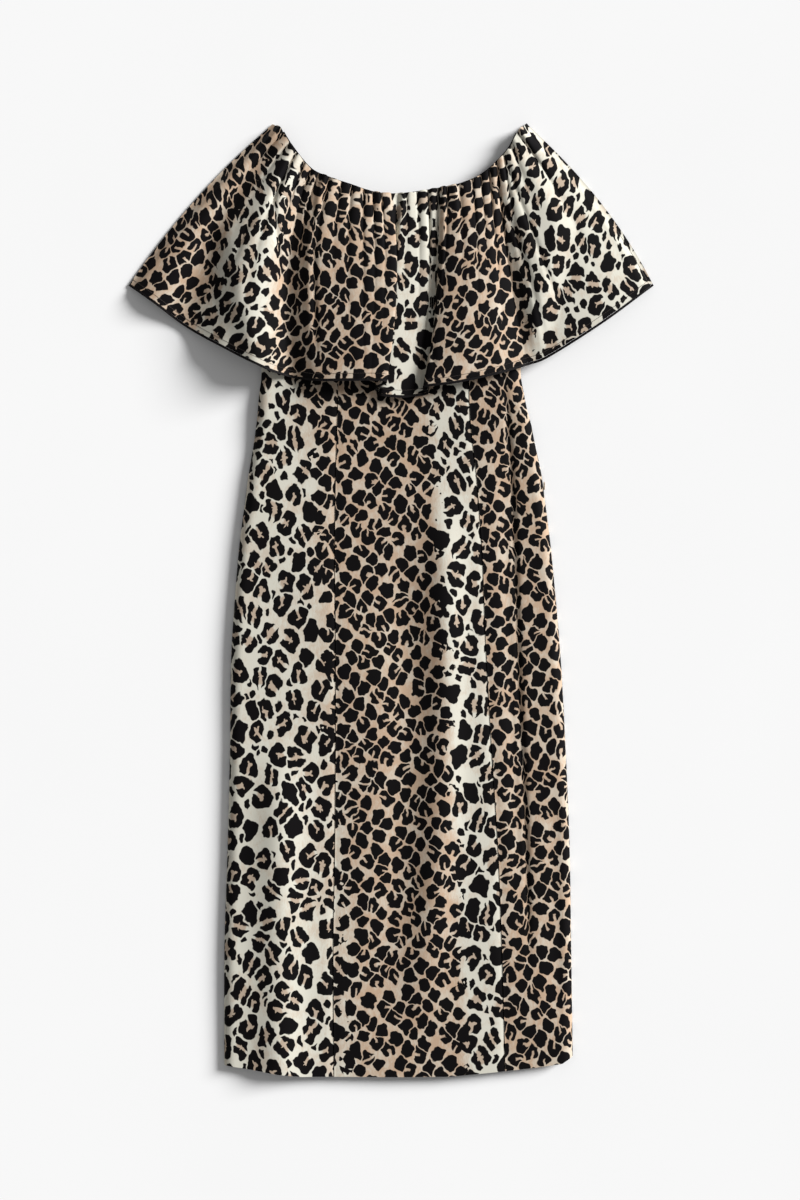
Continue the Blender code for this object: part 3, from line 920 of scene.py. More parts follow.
    def print_layers(self, tree: bpy.types.NodeTree, place: Any, bands: tuple[Band, ...],
                     width: float) -> tuple[Any, Any]:
        """Rosettes with lumps between them on the pale bands, and close spots on the tan ones.

        Args:
            tree: The material's node tree.
            place: Socket with the place on the flat cut, in millimetres.
            bands: Pale and tan bands across the cut.
            width: Width over which the bands are given, in millimetres.

        Returns:
            Two sockets: how much ink, and how much of the rosettes' tan centres.
        """
        large, ring, large_at = self.spots(tree, place, self.large)
        lump, _, lump_at = self.spots(tree, place, self.filler)
        small, small_ring, small_at = self.spots(tree, place, self.small)
        on_pale = calc(tree, "LESS_THAN", self.band_value(tree, large_at, bands, width), BAND_EDGE)
        on_tan = calc(tree, "GREATER_THAN", self.band_value(tree, small_at, bands, width), BAND_EDGE)
        lump_pale = calc(tree, "LESS_THAN", self.band_value(tree, lump_at, bands, width), BAND_EDGE)
        lump_middle = add(tree, "VectorMath", (lump_at, place), operation="ADD")
        reach = self.large.net.look_up(tree, self.large.net.place(tree, lump_middle),
                                       Nearest.MIDDLE)
        between = calc(tree, "GREATER_THAN", reach, LUMPS_FROM)
        kept = calc(tree, "MULTIPLY", between, lump_pale)
        ink_large = calc(tree, "MULTIPLY", self.mask(tree, large, self.large, self.edge), on_pale)
        filled = calc(tree, "ADD", ring, SLIT_GUARD)
        solid = calc(tree, "MAXIMUM", large, filled)
        clear = calc(tree, "MULTIPLY_ADD", solid, -1.0, -LUMP_CLEARANCE)
        clear = self.mask(tree, clear, self.large, self.edge)
        off_pale = calc(tree, "SUBTRACT", 1.0, on_pale)
        clear = calc(tree, "MAXIMUM", clear, off_pale)
        ink_lump = calc(tree, "MULTIPLY", self.mask(tree, lump, self.filler, self.edge), kept)
        ink_lump = calc(tree, "MULTIPLY", ink_lump, clear)
        ink_small = calc(tree, "MULTIPLY", self.mask(tree, small, self.small, self.edge), on_tan)
        ink = calc(tree, "MAXIMUM", ink_large, ink_lump)
        ink = calc(tree, "MAXIMUM", ink, ink_small)
        inner = calc(tree, "MULTIPLY", self.mask(tree, ring, self.large, self.centre_edge), on_pale)
        soft = self.mask(tree, small_ring, self.small, self.centre_edge)
        inner_small = calc(tree, "MULTIPLY", soft, on_tan)
        return ink, calc(tree, "MAXIMUM", inner, inner_small)

    def material(self, name: str, bands: tuple[Band, ...], width: float,
                 offset: tuple[float, float]) -> bpy.types.Material:
        """The printed cloth of one cut piece.

        Args:
            name: The material's name.
            bands: Pale and tan bands across the cut.
            width: Width over which the bands are given, in millimetres.
            offset: Where the piece lies in the printed length, in millimetres.

        Returns:
            The material.
        """
        material, tree = empty_material(name)
        cut = add(tree, "UVMap", uv_map="cut")
        flat = add(tree, "VectorMath", (cut, (MM_IN_METRE, MM_IN_METRE, 0.0)), operation="MULTIPLY")
        shifted = add(tree, "VectorMath", (flat, (0.0, offset[1], offset[0])), operation="ADD")
        place = shifted
        for wavelength, reach in self.ragged:
            wave = add(tree, "TexNoise", {"Vector": shifted, "Scale": 1.0 / wavelength, "Detail": 0.0},
                       out="Color")
            level = add(tree, "VectorMath", (wave, (0.5, 0.5, 0.5)), operation="SUBTRACT")
            place = add(tree, "VectorMath", (level, (reach, reach, 0.0), place), operation="MULTIPLY_ADD")
        ink, centres = self.print_layers(tree, place, bands, width)

        drift = add(tree, "VectorMath", (place, shifted), operation="SUBTRACT")
        tan_here = self.band_value(tree, drift, bands, width)
        strokes_at = add(tree, "Mapping", {"Vector": shifted, "Scale": self.stroke_rate})
        strokes = add(tree, "TexNoise", {"Vector": strokes_at, "Scale": 1.0, "Detail": 5.0,
                                         "Roughness": 0.7, "Distortion": 0.8})
        clouds = add(tree, "TexNoise", {"Vector": shifted, "Scale": 1.0 / self.cloud, "Detail": 2.0})
        blotch = calc(tree, "ADD", strokes, clouds)
        uneven = add(tree, "MapRange", {
            "Value": blotch, "From Min": 1.0 - self.blotch, "From Max": 1.0 + self.blotch,
            "To Min": -self.uneven, "To Max": self.uneven})
        mixed = calc(tree, "MULTIPLY_ADD", tan_here, self.tan_share, self.tan_least)
        amount = calc(tree, "ADD", mixed, uneven, use_clamp=True)
        ground = blend(tree, amount, linear(self.cream), linear(self.tan))
        centres = calc(tree, "MULTIPLY", centres, self.centre_share)
        filled = blend(tree, centres, ground, linear(self.centre))
        painted = blend(tree, ink, filled, linear(self.ink))
        grain = add(tree, "TexNoise", {"Vector": flat, "Scale": self.grain_rate, "Detail": 3.0})
        bump = add(tree, "Bump", {"Strength": self.grain_strength, "Height": grain,
                                  "Distance": self.grain_height * MM})
        shader = add(tree, "BsdfPrincipled", {
            "Base Color": painted, "Roughness": self.roughness, "Sheen Weight": self.sheen,
            "Sheen Roughness": self.sheen_roughness, "Specular IOR Level": self.gloss, "Normal": bump})
        add(tree, "OutputMaterial", {"Surface": shader}, out=None)
        return material


@dataclass(frozen=True)
class WovenTrim:
    """Narrow woven edging or tape, matt, with a fine rib across it."""
    colour: str
    light: str
    roughness: float = 0.7
    rib: float = 0.9
    sheen: float = 0.08
    gloss: float = 0.3
    rib_strength: float = 0.35
    rib_height: float = 0.3

    def material(self, name: str) -> bpy.types.Material:
        """The trim's material, with its rib drawn coarser than the real thread so that it shows.

        Args:
            name: The material's name.

        Returns:
            The material.
        """
        material, tree = empty_material(name)
        spot = add(tree, "TexCoord", out="Object")
        rib = add(tree, "TexNoise", {"Vector": spot, "Scale": MM_IN_METRE / self.rib, "Detail": 2.0})
        tone = blend(tree, rib, linear(self.colour), linear(self.light))
        bump = add(tree, "Bump", {"Strength": self.rib_strength, "Height": rib,
                                  "Distance": self.rib_height * MM})
        shader = add(tree, "BsdfPrincipled", {
            "Base Color": tone, "Roughness": self.roughness, "Sheen Weight": self.sheen,
            "Specular IOR Level": self.gloss, "Normal": bump})
        add(tree, "OutputMaterial", {"Surface": shader}, out=None)
        return material


@dataclass(frozen=True)
class PaintedBoard:
    """Pale board that the dress lies on, all but even in colour."""
    colour: str = "#ebebeb"
    light: str = "#eeeeee"
    roughness: float = 0.9
    gloss: float = 0.1
    patch_rate: float = 3.0

    def material(self, name: str) -> bpy.types.Material:
        """The board's material.

        Args:
            name: The material's name.

        Returns:
            The material.
        """
        material, tree = empty_material(name)
        spot = add(tree, "TexCoord", out="Object")
        grain = add(tree, "TexNoise", {"Vector": spot, "Scale": self.patch_rate, "Detail": 2.0})
        tone = blend(tree, grain, linear(self.colour), linear(self.light))
        shader = add(tree, "BsdfPrincipled", {
            "Base Color": tone, "Roughness": self.roughness, "Specular IOR Level": self.gloss})
        add(tree, "OutputMaterial", {"Surface": shader}, out=None)
        return material


CREPE = PrintedCrepe()
BLACK_EDGING = WovenTrim(colour="#080607", light="#141112", sheen=0.0, gloss=0.1)
PALE_TAPE = WovenTrim(colour="#b9a58d", light="#d8c8b2", roughness=0.65, rib=0.6)
DARK_THREAD = WovenTrim(colour="#1c1613", light="#3a2f28", roughness=0.55, rib=0.4)


def choose(item: bpy.types.Object) -> None:
    """Make one object the active one, and the only one selected.

    Args:
        item: The object.
    """
    bpy.ops.object.select_all(action="DESELECT")
    item.select_set(True)
    bpy.context.view_layer.objects.active = item


def mesh_object(name: str, corners: np.ndarray, quads: np.ndarray,
                material: bpy.types.Material) -> bpy.types.Object:
    """A new object from corners and faces.

    Args:
        name: The piece's name.
        corners: The corners, in millimetres.
        quads: Four corner numbers for each face.
        material: Its finish.

    Returns:
        The object, linked to the scene.
    """
    mesh = bpy.data.meshes.new(name)
    mesh.from_pydata((corners.reshape(-1, 3) * MM).tolist(), [], quads.tolist())
    mesh.materials.append(material)
    item = bpy.data.objects.new(name, mesh)
    bpy.context.scene.collection.objects.link(item)
    return item


def sheet_object(name: str, points: np.ndarray, maps: dict[str, np.ndarray], thickness: float,
                 material: bpy.types.Material) -> bpy.types.Object:
    """A cloth wall round a grid of its middle points.

    Args:
        name: The piece's name.
        points: Rows and columns of points, in millimetres.
        maps: Two numbers for each point of the grid, by the name of the UV map that holds them.
        thickness: The wall's thickness, in millimetres.
        material: The cloth.

    Returns:
        The finished piece.
    """
    rows, columns = points.shape[:2]
    index = np.arange(rows * columns).reshape(rows, columns)
    corners = [index[:-1, :-1], index[1:, :-1], index[1:, 1:], index[:-1, 1:]]
    quads = np.stack(corners, axis=-1).reshape(-1, 4)
    item = mesh_object(name, points, quads, material)
    mesh = item.data
    for title, values in maps.items():
        places = values.reshape(-1, 2)[quads.reshape(-1)]
        mesh.uv_layers.new(name=title).data.foreach_set("uv", places.astype(np.float32).ravel())
    wall = item.modifiers.new("wall", "SOLIDIFY")
    wall.thickness = thickness * MM
    wall.offset = 0.0
    wall.use_even_offset = False
    apply_all(item)
    mesh.shade_smooth()
    mesh.set_sharp_from_angle(angle=math.radians(SHARP_ANGLE))
    return item


def apply_all(item: bpy.types.Object) -> None:
    """Apply every modifier of one object.

    Args:
        item: The object.
    """
    choose(item)
    for modifier in list(item.modifiers):
        bpy.ops.object.modifier_apply(modifier=modifier.name)


def settle(item: bpy.types.Object, slot: Slot, *nodes: str) -> None:
    """Fix a finished piece to the dress, in place of its plain solids.

    Args:
        item: The finished piece.
        slot: The record's material slot, which is not used.
        nodes: Names of the solids that it stands for.
    """
    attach(item, "root")
    if nodes:
        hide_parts(*nodes)


def spaced(length: float, step: float) -> np.ndarray:
    """Shares across a panel, closer together at its seams.

    Args:
        length: The panel's width, in millimetres.
        step: Usual spacing, in millimetres.

    Returns:
        Shares from 0 to 1.
    """
    close = np.array(SEAM_COLUMNS) / length
    even = np.linspace(0.0, 1.0, int(length / step) + 1)
    ordered = sorted(set(np.concatenate([even, close, 1.0 - close]).round(5)))
    kept = [ordered[0]]
    for share in ordered[1:]:
        if (share - kept[-1]) * length > CLOSEST_COLUMNS:
            kept.append(share)
    kept[-1] = 1.0
    return np.array(kept)


@dataclass
class BodyPanel:
    """One cut panel of the dress's body, between two columns of the BODY table.

    The offset is where it lies in the printed length, and level gives its wall's middle.
    """
    name: str
    first: str
    first_inset: float
    second: str
    second_inset: float
    width: float
    bands: tuple[Band, ...]
    offset: tuple[float, float]
    level: Callable[[np.ndarray, np.ndarray], np.ndarray]
    step: float = 3.0
    row_step: float = 4.5
    under: str = "body_back_cloth"

    def side(self, share: float, y: Any) -> np.ndarray:
        """Place across, between the panel's two sides.

        Args:
            share: Share of the way from the first side to the second.
            y: One height or many, in millimetres.

        Returns:
            The place at each height, in millimetres.
        """
        start = body_value(self.first, y) + self.first_inset
        stop = body_value(self.second, y) + self.second_inset
        return start + (stop - start) * share

    def top(self, share: float) -> float:
        """Height at which a line down the panel meets the neckline.

        Args:
            share: The line's share of the way from the first side to the second.

        Returns:
            The height, in millimetres.
        """
        y = NECKLINE_GUESS_Y
        for _ in range(NECKLINE_TRIES):
            y = float(neckline_height(self.side(share, y)))
        return y

    def grid(self) -> tuple[np.ndarray, np.ndarray]:
        """Lay out the wall.

        Returns:
            The wall's middle points, and the print's shift where cloth is tucked.
        """
        across = spaced(self.width, self.step)
        rows = np.linspace(0.0, 1.0, int(PANEL_LENGTH / self.row_step))
        points = np.zeros((len(rows), len(across), 3))
        for column, share in enumerate(across):
            y_top = self.top(share) - BODICE_DROP
            x_hem = float(self.side(share, HEM_Y))
            y = y_top + (float(hem_height(x_hem)) - y_top) * rows
            points[:, column, 0] = self.side(share, y)
            points[:, column, 1] = y
        x = points[:, :, 0]
        y = points[:, :, 1]
        points[:, :, 2] = self.level(x, y)
        return points, pinched(SKIRT_PINCHES, x, y)[1]

    def build(self) -> bpy.types.Object:
        """Make the panel, dress it and fix it in place.

        Returns:
            The finished panel.
        """
        points, shift = self.grid()
        middle = points.shape[1] // 2
        arc = arc_length(points, 1)
        across = points[:, middle:middle + 1, 0] + arc - arc[:, middle:middle + 1] + shift
        up = points[:, :, 1]
        maps = {"cut": flat_map(across, up) * MM,
                "bands": flat_map((across + BAND_LEAN * up) * MM, 1.0)}
        material = CREPE.material("printed_crepe_" + self.name, self.bands, BAND_WIDTH, self.offset)
        item = sheet_object(self.name + "_cloth", points, maps, SHELL, material)
        settle(item, Slot.PRINT, self.name)
        return item


@dataclass
class Flounce:
    """A gathered flounce: a long strip drawn in at the neckline, lying in deep folds.

    The drop is how far its neckline lies below the front's, and the bands' places are shares
    of the neckline.
    """
    name: str
    folds: tuple[Fold, ...]
    gathers: int
    drop: float
    lowest: bool
    share_bands: tuple[Band, ...]
    offset: tuple[float, float]
    per_gather: int = 12
    rows: int = 72

    def columns(self) -> tuple[dict[str, np.ndarray], np.ndarray]:
        """Read the table of folds at every column.

        Returns:
            The table's values by name, and the columns' shares of the neckline.
        """
        places = [0.0]
        for index in range(len(self.folds) - 1):
            here = self.folds[index]
            following = self.folds[index + 1]
            waves = (following.neck_share - here.neck_share) * self.gathers * self.per_gather
            reach = math.hypot(following.hem_x - here.hem_x, following.hem_y - here.hem_y)
            climb = abs(following.hem_height - here.hem_height)
            count = max(round(waves), math.ceil((reach + climb) / COLUMN_REACH), LEAST_COLUMNS)
            places.extend(index + (step + 1) / count for step in range(count))
        table = through_rows([tuple(fold) for fold in self.folds], np.array(places))
        named = dict(zip(Fold._fields, table.T))
        return named, np.clip(named["neck_share"], 0.0, 1.0)

    def wave(self, shares: np.ndarray, way: float) -> tuple[np.ndarray, np.ndarray]:
        """Gathers at one distance from the neckline.

        Args:
            shares: Neckline shares of the columns.
            way: Distance from the neckline as a share of the flounce's length.

        Returns:
            Height of the gathers from 0 to 1, and the cloth that each valley takes up, in gathers.
        """
        phase = self.gathers * shares
        wander = sum(sway.along(shares) for sway in GATHER_WANDER)
        valley = np.exp(-((((phase + wander) % 1.0) - 0.5) / GATHER_VALLEY) ** 2)
        bend = GATHER_UNEVEN_BEND.along(shares)
        uneven = 1.0 - GATHER_UNEVEN.height + GATHER_UNEVEN.along(shares, bend)
        beat = GATHER_REACH.along(shares) * GATHER_REACH_BEAT.along(shares)
        reach = GATHER_FADE * (1.0 + beat)
        fade = np.exp(-way / reach)
        height = 0.5 * (1.0 + np.cos(2.0 * math.pi * phase)) * uneven
        height = GATHER_ROUND * height + (1.0 - GATHER_ROUND) * (1.0 - valley) * uneven
        taken = -np.sin(2.0 * math.pi * (phase + wander)) / (2.0 * math.pi)
        return height * fade, taken * fade

    def grid(self) -> tuple[np.ndarray, np.ndarray, np.ndarray]:
        """Lay out the wall and its flat cut.

        Returns:
            The wall's middle points, their places on the flat cut, and the columns' shares of
            the neckline.
        """
        table, shares = self.columns()
        neck = curve_by_share(NECKLINE, shares)
        neck[:, 1] -= self.drop * np.sin(math.pi * shares) ** DROP_POWER
        ways = np.linspace(0.0, 1.0, self.rows) ** ROW_POWER
        points = np.zeros((len(ways), len(shares), 3))
        taken = np.zeros((len(ways), len(shares)))
        for row, way in enumerate(ways):
            points[row, :, 0] = three_stations(neck[:, 0], table["mid_x"], table["hem_x"], way)
            points[row, :, 1] = three_stations(neck[:, 1], table["mid_y"], table["hem_y"], way)
            height = three_stations(table["neck_height"], table["mid_height"], table["hem_height"], way)
            points[row, :, 2] = np.maximum(height, 0.0)
        lie = points[:, :, 2].copy()
        flat_left = np.linalg.norm(points[:, :, :2] - points[:, :1, :2], axis=-1)
        flat_right = np.linalg.norm(points[:, :, :2] - points[:, -1:, :2], axis=-1)
        rounding = smooth_step(np.minimum(flat_left, flat_right) / EDGE_ROUND)
        for row, way in enumerate(ways):
            x = points[row, :, 0]
            y = points[row, :, 1]
            wave, taken[row] = self.wave(shares, float(way))
            points[row, :, 1] += NECK_BUMP * wave * math.exp(-way / NECK_BUMP_FADE)
            if self.lowest:
                height = np.minimum(points[row, :, 2] + wave, BACK_FOLD_HEIGHT)
                points[row, :, 2] = CLOTH / 2 + height * rounding[row]
                continue
            quiet = 1.0 - np.exp(-((shares - CENTRE_FOLD_SHARE) / CENTRE_FOLD_SPAN) ** 2)
            rest = support_level(x, y, float(way)) + SEAM_GAP + CLOTH / 2 + REST_CLEARANCE
            depth = pinched(FLOUNCE_PINCHES, x, y)[0] * smooth_step(points[row, :, 2] / FLAT_HEIGHT)
            height = points[row, :, 2] - depth + GATHER_HEIGHT * wave * quiet
            height = rest + np.maximum(height, 0.0)
            seat = PANEL_STEP + CLOTH / 2
            points[row, :, 2] = seat + (height - seat) * rounding[row]
        last_run = points[-1] - points[-2]
        last_size = np.linalg.norm(last_run, axis=-1, keepdims=True)
        room = np.minimum(EDGING_WIDTH + SEAM_GAP, EDGING_SHARE * last_size)
        points[-1] -= last_run / last_size * room
        return points, self.flat_cut(points, lie, taken, shares), shares

    def flat_cut(self, points: np.ndarray, lie: np.ndarray, taken: np.ndarray,
                 shares: np.ndarray) -> np.ndarray:
        """Unroll the wall onto its flat cut, a part of a ring whose middle is above the neck.

        Args:
            points: The wall's middle points, in millimetres.
            lie: Their heights in the deep folds alone.
            taken: The cloth that the gathers take up at each point, in gathers.
            shares: The columns' shares of the neckline.

        Returns:
            The points' places on the cut, in millimetres.
        """
        middle = int(np.argmin(np.abs(shares - 0.5)))
        away_x = points[:, :, 0] - FAN_X
        away_y = FAN_Y - points[:, :, 1]
        turn = FAN_RADIUS * np.arctan2(away_x, away_y)
        steps = np.hypot(np.diff(turn, axis=1), np.diff(lie, axis=1))
        across = np.pad(np.cumsum(steps, axis=1), ((0, 0), (1, 0)))
        across = across - across[:, middle:middle + 1]
        pitch = np.ptp(across[0]) / self.gathers
        cut = flat_map(across + taken * pitch * GATHER_TAKEN, -np.hypot(away_x, away_y))
        if not self.lowest:
            cut[:, :, 0] += pinched(FLOUNCE_PINCHES, points[:, :, 0], points[:, :, 1])[1]
        return cut

    def build(self) -> bpy.types.Object:
        """Make the flounce with its edging, dress it and fix it in place.

        Returns:
            The finished flounce, without its edging.
        """
        points, cut, shares = self.grid()
        hem = arc_length(points[-1:], 1)[0]
        width = float(hem[-1])
        hem = hem - width / 2
        step = np.maximum(np.gradient(cut[:, :, 0], axis=1), LEAST_STEP)
        spread = np.clip(np.gradient(hem)[None, :] / step, 0.0, STRIP_CROWDING)
        strip = np.stack([np.broadcast_to(hem * MM, spread.shape), spread], axis=-1)
        bands = tuple(Band(float(np.interp(band.place, shares, hem)), band.tan)
                      for band in self.share_bands)
        maps = {"cut": cut * MM, "bands": strip}
        material = CREPE.material("printed_crepe_" + self.name, bands, width, self.offset)
        item = sheet_object(self.name + "_cloth", points, maps, SHELL, material)
        settle(item, Slot.PRINT, self.name)
        edging = self.edging(points)
        if not self.lowest:
            self.stitches(points)
        return item

    def stitches(self, points: np.ndarray) -> None:
        """A row of stitches above the hem, and one beside the fold on the picture's right.

        Args:
            points: The wall's middle points, in millimetres.
        """
        hem = upper_line(points, HEM_STITCH_INSET, STITCH_SINK)
        StitchLine(self.name + "_hem_stitches").build(hem, Slot.PRINT)
        turned = points.transpose(1, 0, 2)
        edge = upper_line(turned, EDGE_STITCH_INSET, STITCH_SINK)
        low_end = edge[int(len(edge) * EDGE_STITCH_FROM):]
        StitchLine(self.name + "_fold_stitches").build(low_end, Slot.PRINT)

    def edging(self, points: np.ndarray) -> bpy.types.Object:
        """The black edging that is folded round the flounce's hem.

        Args:
            points: The wall's middle points, in millimetres.

        Returns:
            The finished edging.
        """
        last = points[-1]
        run = unit(last - points[-2])
        reaches = np.array(EDGING_REACHES)
        strip = last[None] + run[None] * reaches[:, None, None]
        cut = flat_map(arc_length(strip, 1), reaches[:, None])
        item = sheet_object(self.name + "_edging_tape", strip, {"cut": cut * MM},
                            CLOTH - EDGING_THINNER,
                            BLACK_EDGING.material("black_woven_edging_" + self.name))
        settle(item, Slot.TRIM, self.name + "_edging")
        return item


@dataclass
class Casing:
    """Black elastic casing along the neckline, of which a narrow line shows."""
    name: str
    layer: int
    show: float = 2.2
    turn: float = 0.5
    depth: float = 9.0
    first_share: float = 0.045
    last_share: float = 0.955
    columns: int = 180

    def build(self) -> bpy.types.Object:
        """Make the casing, dress it and fix it in place.

        Returns:
            The finished casing.
        """
        shares = np.linspace(self.first_share, self.last_share, self.columns)
        line = curve_by_share(NECKLINE, shares)
        along = unit(np.gradient(line, axis=0))
        outward = np.stack([-along[:, 1], along[:, 0]], axis=1)
        reaches = np.array([self.show, self.turn, -self.turn, -self.depth / 2, -self.depth])
        points = np.zeros((len(reaches), len(shares), 3))
        for row, reach in enumerate(reaches):
            points[row, :, :2] = line + outward * reach
        points[:, :, 2] = CLOTH / 2 + BACK_RISE + PANEL_STEP * (1 + self.layer)
        cut = flat_map(arc_length(points, 1), reaches[:, None])
        item = sheet_object(self.name + "_band", points, {"cut": cut * MM}, CLOTH - CASING_THINNER,
                            BLACK_EDGING.material("black_woven_casing_" + self.name))
        settle(item, Slot.TRIM, self.name)
        return item


@dataclass
class StitchLine:
    """A row of machine stitches that lie half sunk in the cloth, each a short bar of thread."""
    name: str
    pitch: float = STITCH_PITCH
    length: float = STITCH
    width: float = THREAD

    def build(self, line: np.ndarray, slot: Slot) -> bpy.types.Object:
        """Lay the row along a line on the cloth's upper face, and fix it in place.

        Args:
            line: Points along the row, in millimetres.
            slot: The material slot of the cloth that the row holds.

        Returns:
            The row, as one piece.
        """
        length = arc_length(line[None], 1)[0]
        count = int(length[-1] / self.pitch)
        starts = (np.arange(count) + 0.5) * self.pitch - self.length / 2
        ends = starts + self.length
        first = read_line(line, length, starts)
        last = read_line(line, length, ends)
        run = unit(last - first)
        side = unit(np.stack([-run[:, 1], run[:, 0], np.zeros(count)], axis=1)) * self.width / 2
        up = unit(np.cross(run, side)) * self.width / 2
        ring = [first - side, first - up, first + side, first + up,
                last - side, last - up, last + side, last + up]
        corners = np.stack(ring, axis=1)
        faces = np.array([(0, 1, 2, 3), (7, 6, 5, 4), (0, 4, 5, 1), (1, 5, 6, 2), (2, 6, 7, 3),
                          (3, 7, 4, 0)])
        quads = (np.arange(count)[:, None, None] * len(ring) + faces[None]).reshape(-1, 4)
        item = mesh_object(self.name, corners, quads,
                           DARK_THREAD.material("polyester_thread_" + self.name))
        choose(item)
        bpy.ops.object.mode_set(mode="EDIT")
        bpy.ops.mesh.select_all(action="SELECT")
        bpy.ops.mesh.normals_make_consistent(inside=False)
        bpy.ops.object.mode_set(mode="OBJECT")
        settle(item, slot)
        return item


@dataclass
class ZipEnd:
    """Folded lower end of the concealed side zip's tape."""
    top_y: float = 148.0
    length: float = 10.0
    width: float = 2.0
    level: float = 2.3
    height: float = 1.5
    edge_round: float = 0.25
    cuts: int = 3
    sharp_angle: float = 50.0
    stitch_margin: float = 1.0

    def build(self) -> bpy.types.Object:
        """Make the folded tape end, dress it and fix it in place.

        Returns:
            The finished tape end.
        """
        middle_y = self.top_y - self.length / 2
        edge = float(body_value("right", middle_y)) + SEAM_GAP
        bpy.ops.object.select_all(action="DESELECT")
        bpy.ops.mesh.primitive_cube_add(
            size=1.0, location=((edge + self.width / 2) * MM, middle_y * MM, self.level * MM))
        item = bpy.context.active_object
        item.name = "side_zip_end_tape"
        item.scale = (self.width * MM, self.length * MM, self.height * MM)
        bpy.ops.object.transform_apply(location=True, rotation=True, scale=True)
        bpy.ops.object.mode_set(mode="EDIT")
        bpy.ops.mesh.select_all(action="SELECT")
        bpy.ops.mesh.subdivide(number_cuts=self.cuts)
        bpy.ops.mesh.bevel(offset=self.edge_round * MM, segments=2, affect="EDGES")
        bpy.ops.object.mode_set(mode="OBJECT")
        bpy.ops.object.shade_smooth_by_angle(angle=math.radians(self.sharp_angle))
        item.data.materials.append(PALE_TAPE.material("cotton_zip_tape"))
        settle(item, Slot.TAPE, "side_zip_end")
        self.stitches(edge)
        return item

    def stitches(self, edge: float) -> None:
        """Slanting stitches over the tape's end, which stop the zip there.

        Args:
            edge: Place across of the tape's inner side, in millimetres.
        """
        count = int(self.length / ZIP_STITCH_PITCH)
        places = np.linspace(-0.5, 0.5, 2 * count) * (self.length - self.stitch_margin)
        sway = np.where(np.arange(2 * count) % 2 == 0, -0.5, 0.5) * (self.width - 2.0 * THREAD)
        line = np.zeros((2 * count, 3))
        line[:, 0] = edge + self.width / 2 + sway
        line[:, 1] = self.top_y - self.length / 2 + places
        line[:, 2] = self.level + self.height / 2 - STITCH_SINK
        row = StitchLine("zip_end_stitches", ZIP_STITCH_TURN, ZIP_STITCH_TURN - ZIP_STITCH_GAP)
        row.build(line, Slot.TAPE)


@dataclass
class Studio:
    """Pale floor, soft light from the upper right, and a camera straight above.

    Sizes are in millimetres but for floor_size and view_reach, which are in metres, and
    angles in degrees.
    """
    centre_x: float = 11.25
    frame_height: float = 1500.0
    plane_height: float = 12.0
    lens: float = 85.0
    sensor: float = 36.0
    key: float = 6.1
    softness: float = 24.0
    elevation: float = 25.0
    heading: float = 26.0
    fill: float = 0.29
    floor_size: float = 14.0
    floor_drop: float = 0.3
    view_reach: float = 20.0

    def camera(self) -> None:
        """Camera straight above the dress, over the middle of the picture."""
        data = bpy.data.cameras.new("camera")
        data.lens = self.lens
        data.sensor_width = self.sensor
        distance = self.frame_height * self.lens / self.sensor
        item = bpy.data.objects.new("camera", data)
        item.location = (self.centre_x * MM, 0.0, (distance + self.plane_height) * MM)
        data.clip_end = self.view_reach
        bpy.context.scene.collection.objects.link(item)
        bpy.context.scene.camera = item

    def floor(self) -> None:
        """Smooth pale floor, wide enough for every view."""
        bpy.ops.object.select_all(action="DESELECT")
        bpy.ops.mesh.primitive_plane_add(size=self.floor_size,
                                         location=(0.0, 0.0, -self.floor_drop * MM))
        item = bpy.context.active_object
        item.name = "floor"
        item.data.materials.append(PaintedBoard().material("painted_board"))

    def light(self) -> None:
        """Soft key light from the upper right, and an even fill from all round."""
        data = bpy.data.lights.new("key", "SUN")
        data.energy = self.key
        data.angle = math.radians(self.softness)
        item = bpy.data.objects.new("key", data)
        item.rotation_mode = "QUATERNION"
        rise = math.radians(self.elevation)
        heading = math.radians(self.heading)
        towards = Vector((math.cos(rise) * math.cos(heading), math.cos(rise) * math.sin(heading),
                          math.sin(rise)))
        item.rotation_quaternion = towards.to_track_quat("Z", "Y")
        bpy.context.scene.collection.objects.link(item)
        world = bpy.data.worlds.new("fill")
        world.use_nodes = True
        background = world.node_tree.nodes["Background"]
        background.inputs["Color"].default_value = (1.0, 1.0, 1.0, 1.0)
        background.inputs["Strength"].default_value = self.fill
        bpy.context.scene.world = world
        bpy.context.scene.view_settings.view_transform = "Standard"

    def build(self) -> None:
        """Set up the floor, the light and the camera."""
        self.camera()
        self.floor()
        self.light()


BODY_BANDS = (
    Band(-300.0, 0.0), Band(-130.0, 0.05), Band(-92.0, 0.45), Band(-66.0, 0.95), Band(52.0, 1.0),
    Band(68.0, 0.0), Band(300.0, 0.0),
)

SIDE_BANDS = (Band(-300.0, 0.9), Band(110.0, 1.0), Band(300.0, 0.9))

FLOUNCE_BANDS = (
    Band(0.0, 1.0), Band(0.078, 1.0), Band(0.092, 0.0), Band(0.15, 0.0), Band(0.18, 0.9),
    Band(0.47, 1.0), Band(0.49, 0.0), Band(0.625, 0.0), Band(0.645, 0.9), Band(0.845, 1.0),
    Band(0.875, 0.0), Band(1.0, 0.0),
)

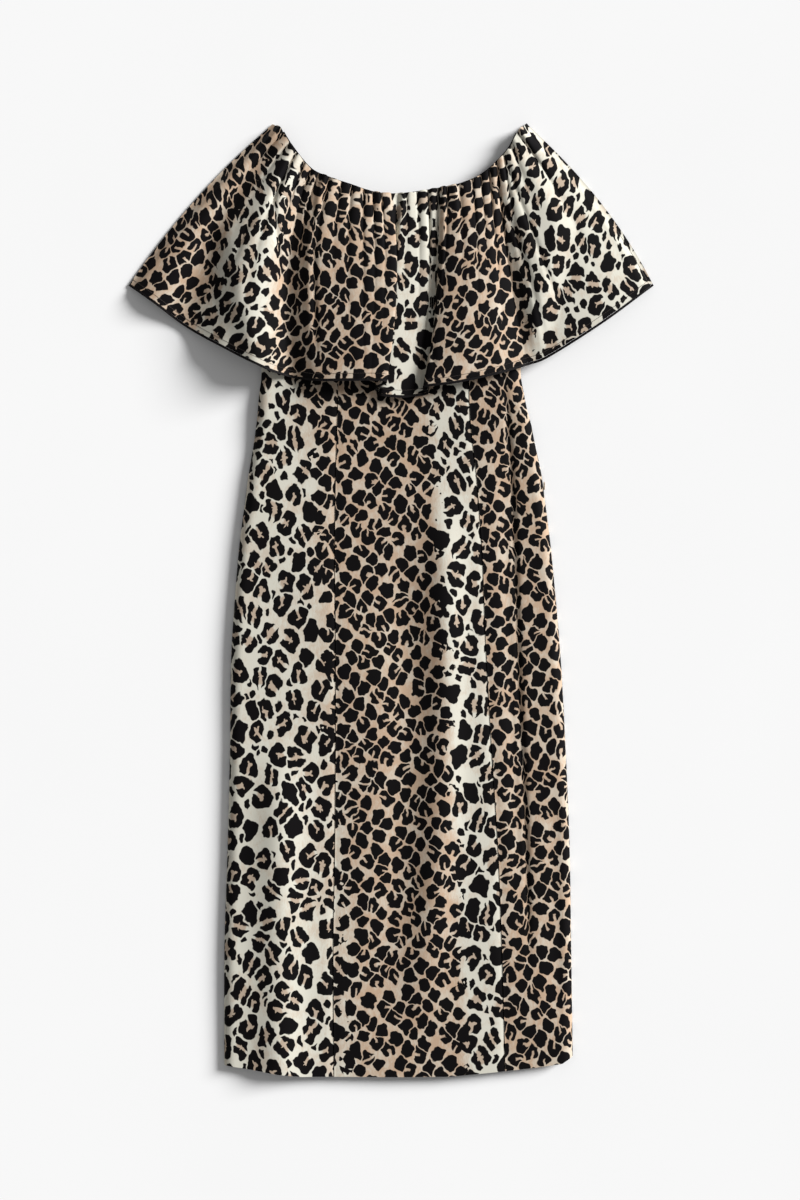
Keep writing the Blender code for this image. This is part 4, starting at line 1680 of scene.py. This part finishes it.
BACK_FLOUNCE_BANDS = (
    Band(0.0, 1.0), Band(0.14, 1.0), Band(0.18, 0.0), Band(0.33, 0.0), Band(0.37, 1.0), Band(0.62, 1.0),
    Band(0.66, 0.0), Band(0.82, 0.0), Band(0.86, 1.0), Band(1.0, 1.0),
)


def body_panels() -> list[BodyPanel]:
    """The four panels of the body.

    Returns:
        The back, and the three front panels.
    """
    half_gap = SEAM_GAP / 2
    inset = CLOTH / 2
    return [
        BodyPanel("body_back", "left", SHELL, "right", -SHELL, width=400.0, bands=BODY_BANDS,
                  offset=(31.0, 470.0), level=lambda x, y: back_level(y), step=8.0, row_step=8.0,
                  under="flounce_back_cloth"),
        BodyPanel("body_front_centre", "left_seam", half_gap, "right_seam", -half_gap,
                  width=180.0, bands=BODY_BANDS, offset=(0.0, 0.0), level=front_level),
        BodyPanel("body_front_left", "left", inset, "left_seam", -half_gap,
                  width=125.0, bands=BODY_BANDS, offset=(7.0, 137.0), level=front_level),
        BodyPanel("body_front_right", "right_seam", half_gap, "right", -inset,
                  width=90.0, bands=SIDE_BANDS, offset=(3.0, 291.0), level=front_level, step=2.2),
    ]


def main() -> None:
    """Build every piece of the dress and its studio."""
    logging.basicConfig(level=logging.INFO, format="%(name)s: %(message)s")
    Studio().build()
    for panel in body_panels():
        item = panel.build()
        log.info("%s: %d faces", item.name, len(item.data.polygons))
    flounces = (
        Flounce("flounce_back", BACK_FOLDS, GATHERS_BACK, drop=2.5, lowest=True,
                share_bands=BACK_FLOUNCE_BANDS, offset=(11.0, 700.0), per_gather=6, rows=30),
        Flounce("flounce_front", FRONT_FOLDS, GATHERS_FRONT, drop=0.0, lowest=False,
                share_bands=FLOUNCE_BANDS, offset=(0.0, 900.0)),
    )
    for flounce in flounces:
        item = flounce.build()
        log.info("%s: %d faces", item.name, len(item.data.polygons))
    for casing in (Casing("neck_casing_back", 0), Casing("neck_casing_front", 1)):
        casing.build()
    ZipEnd().build()


if __name__ == "__main__":
    main()
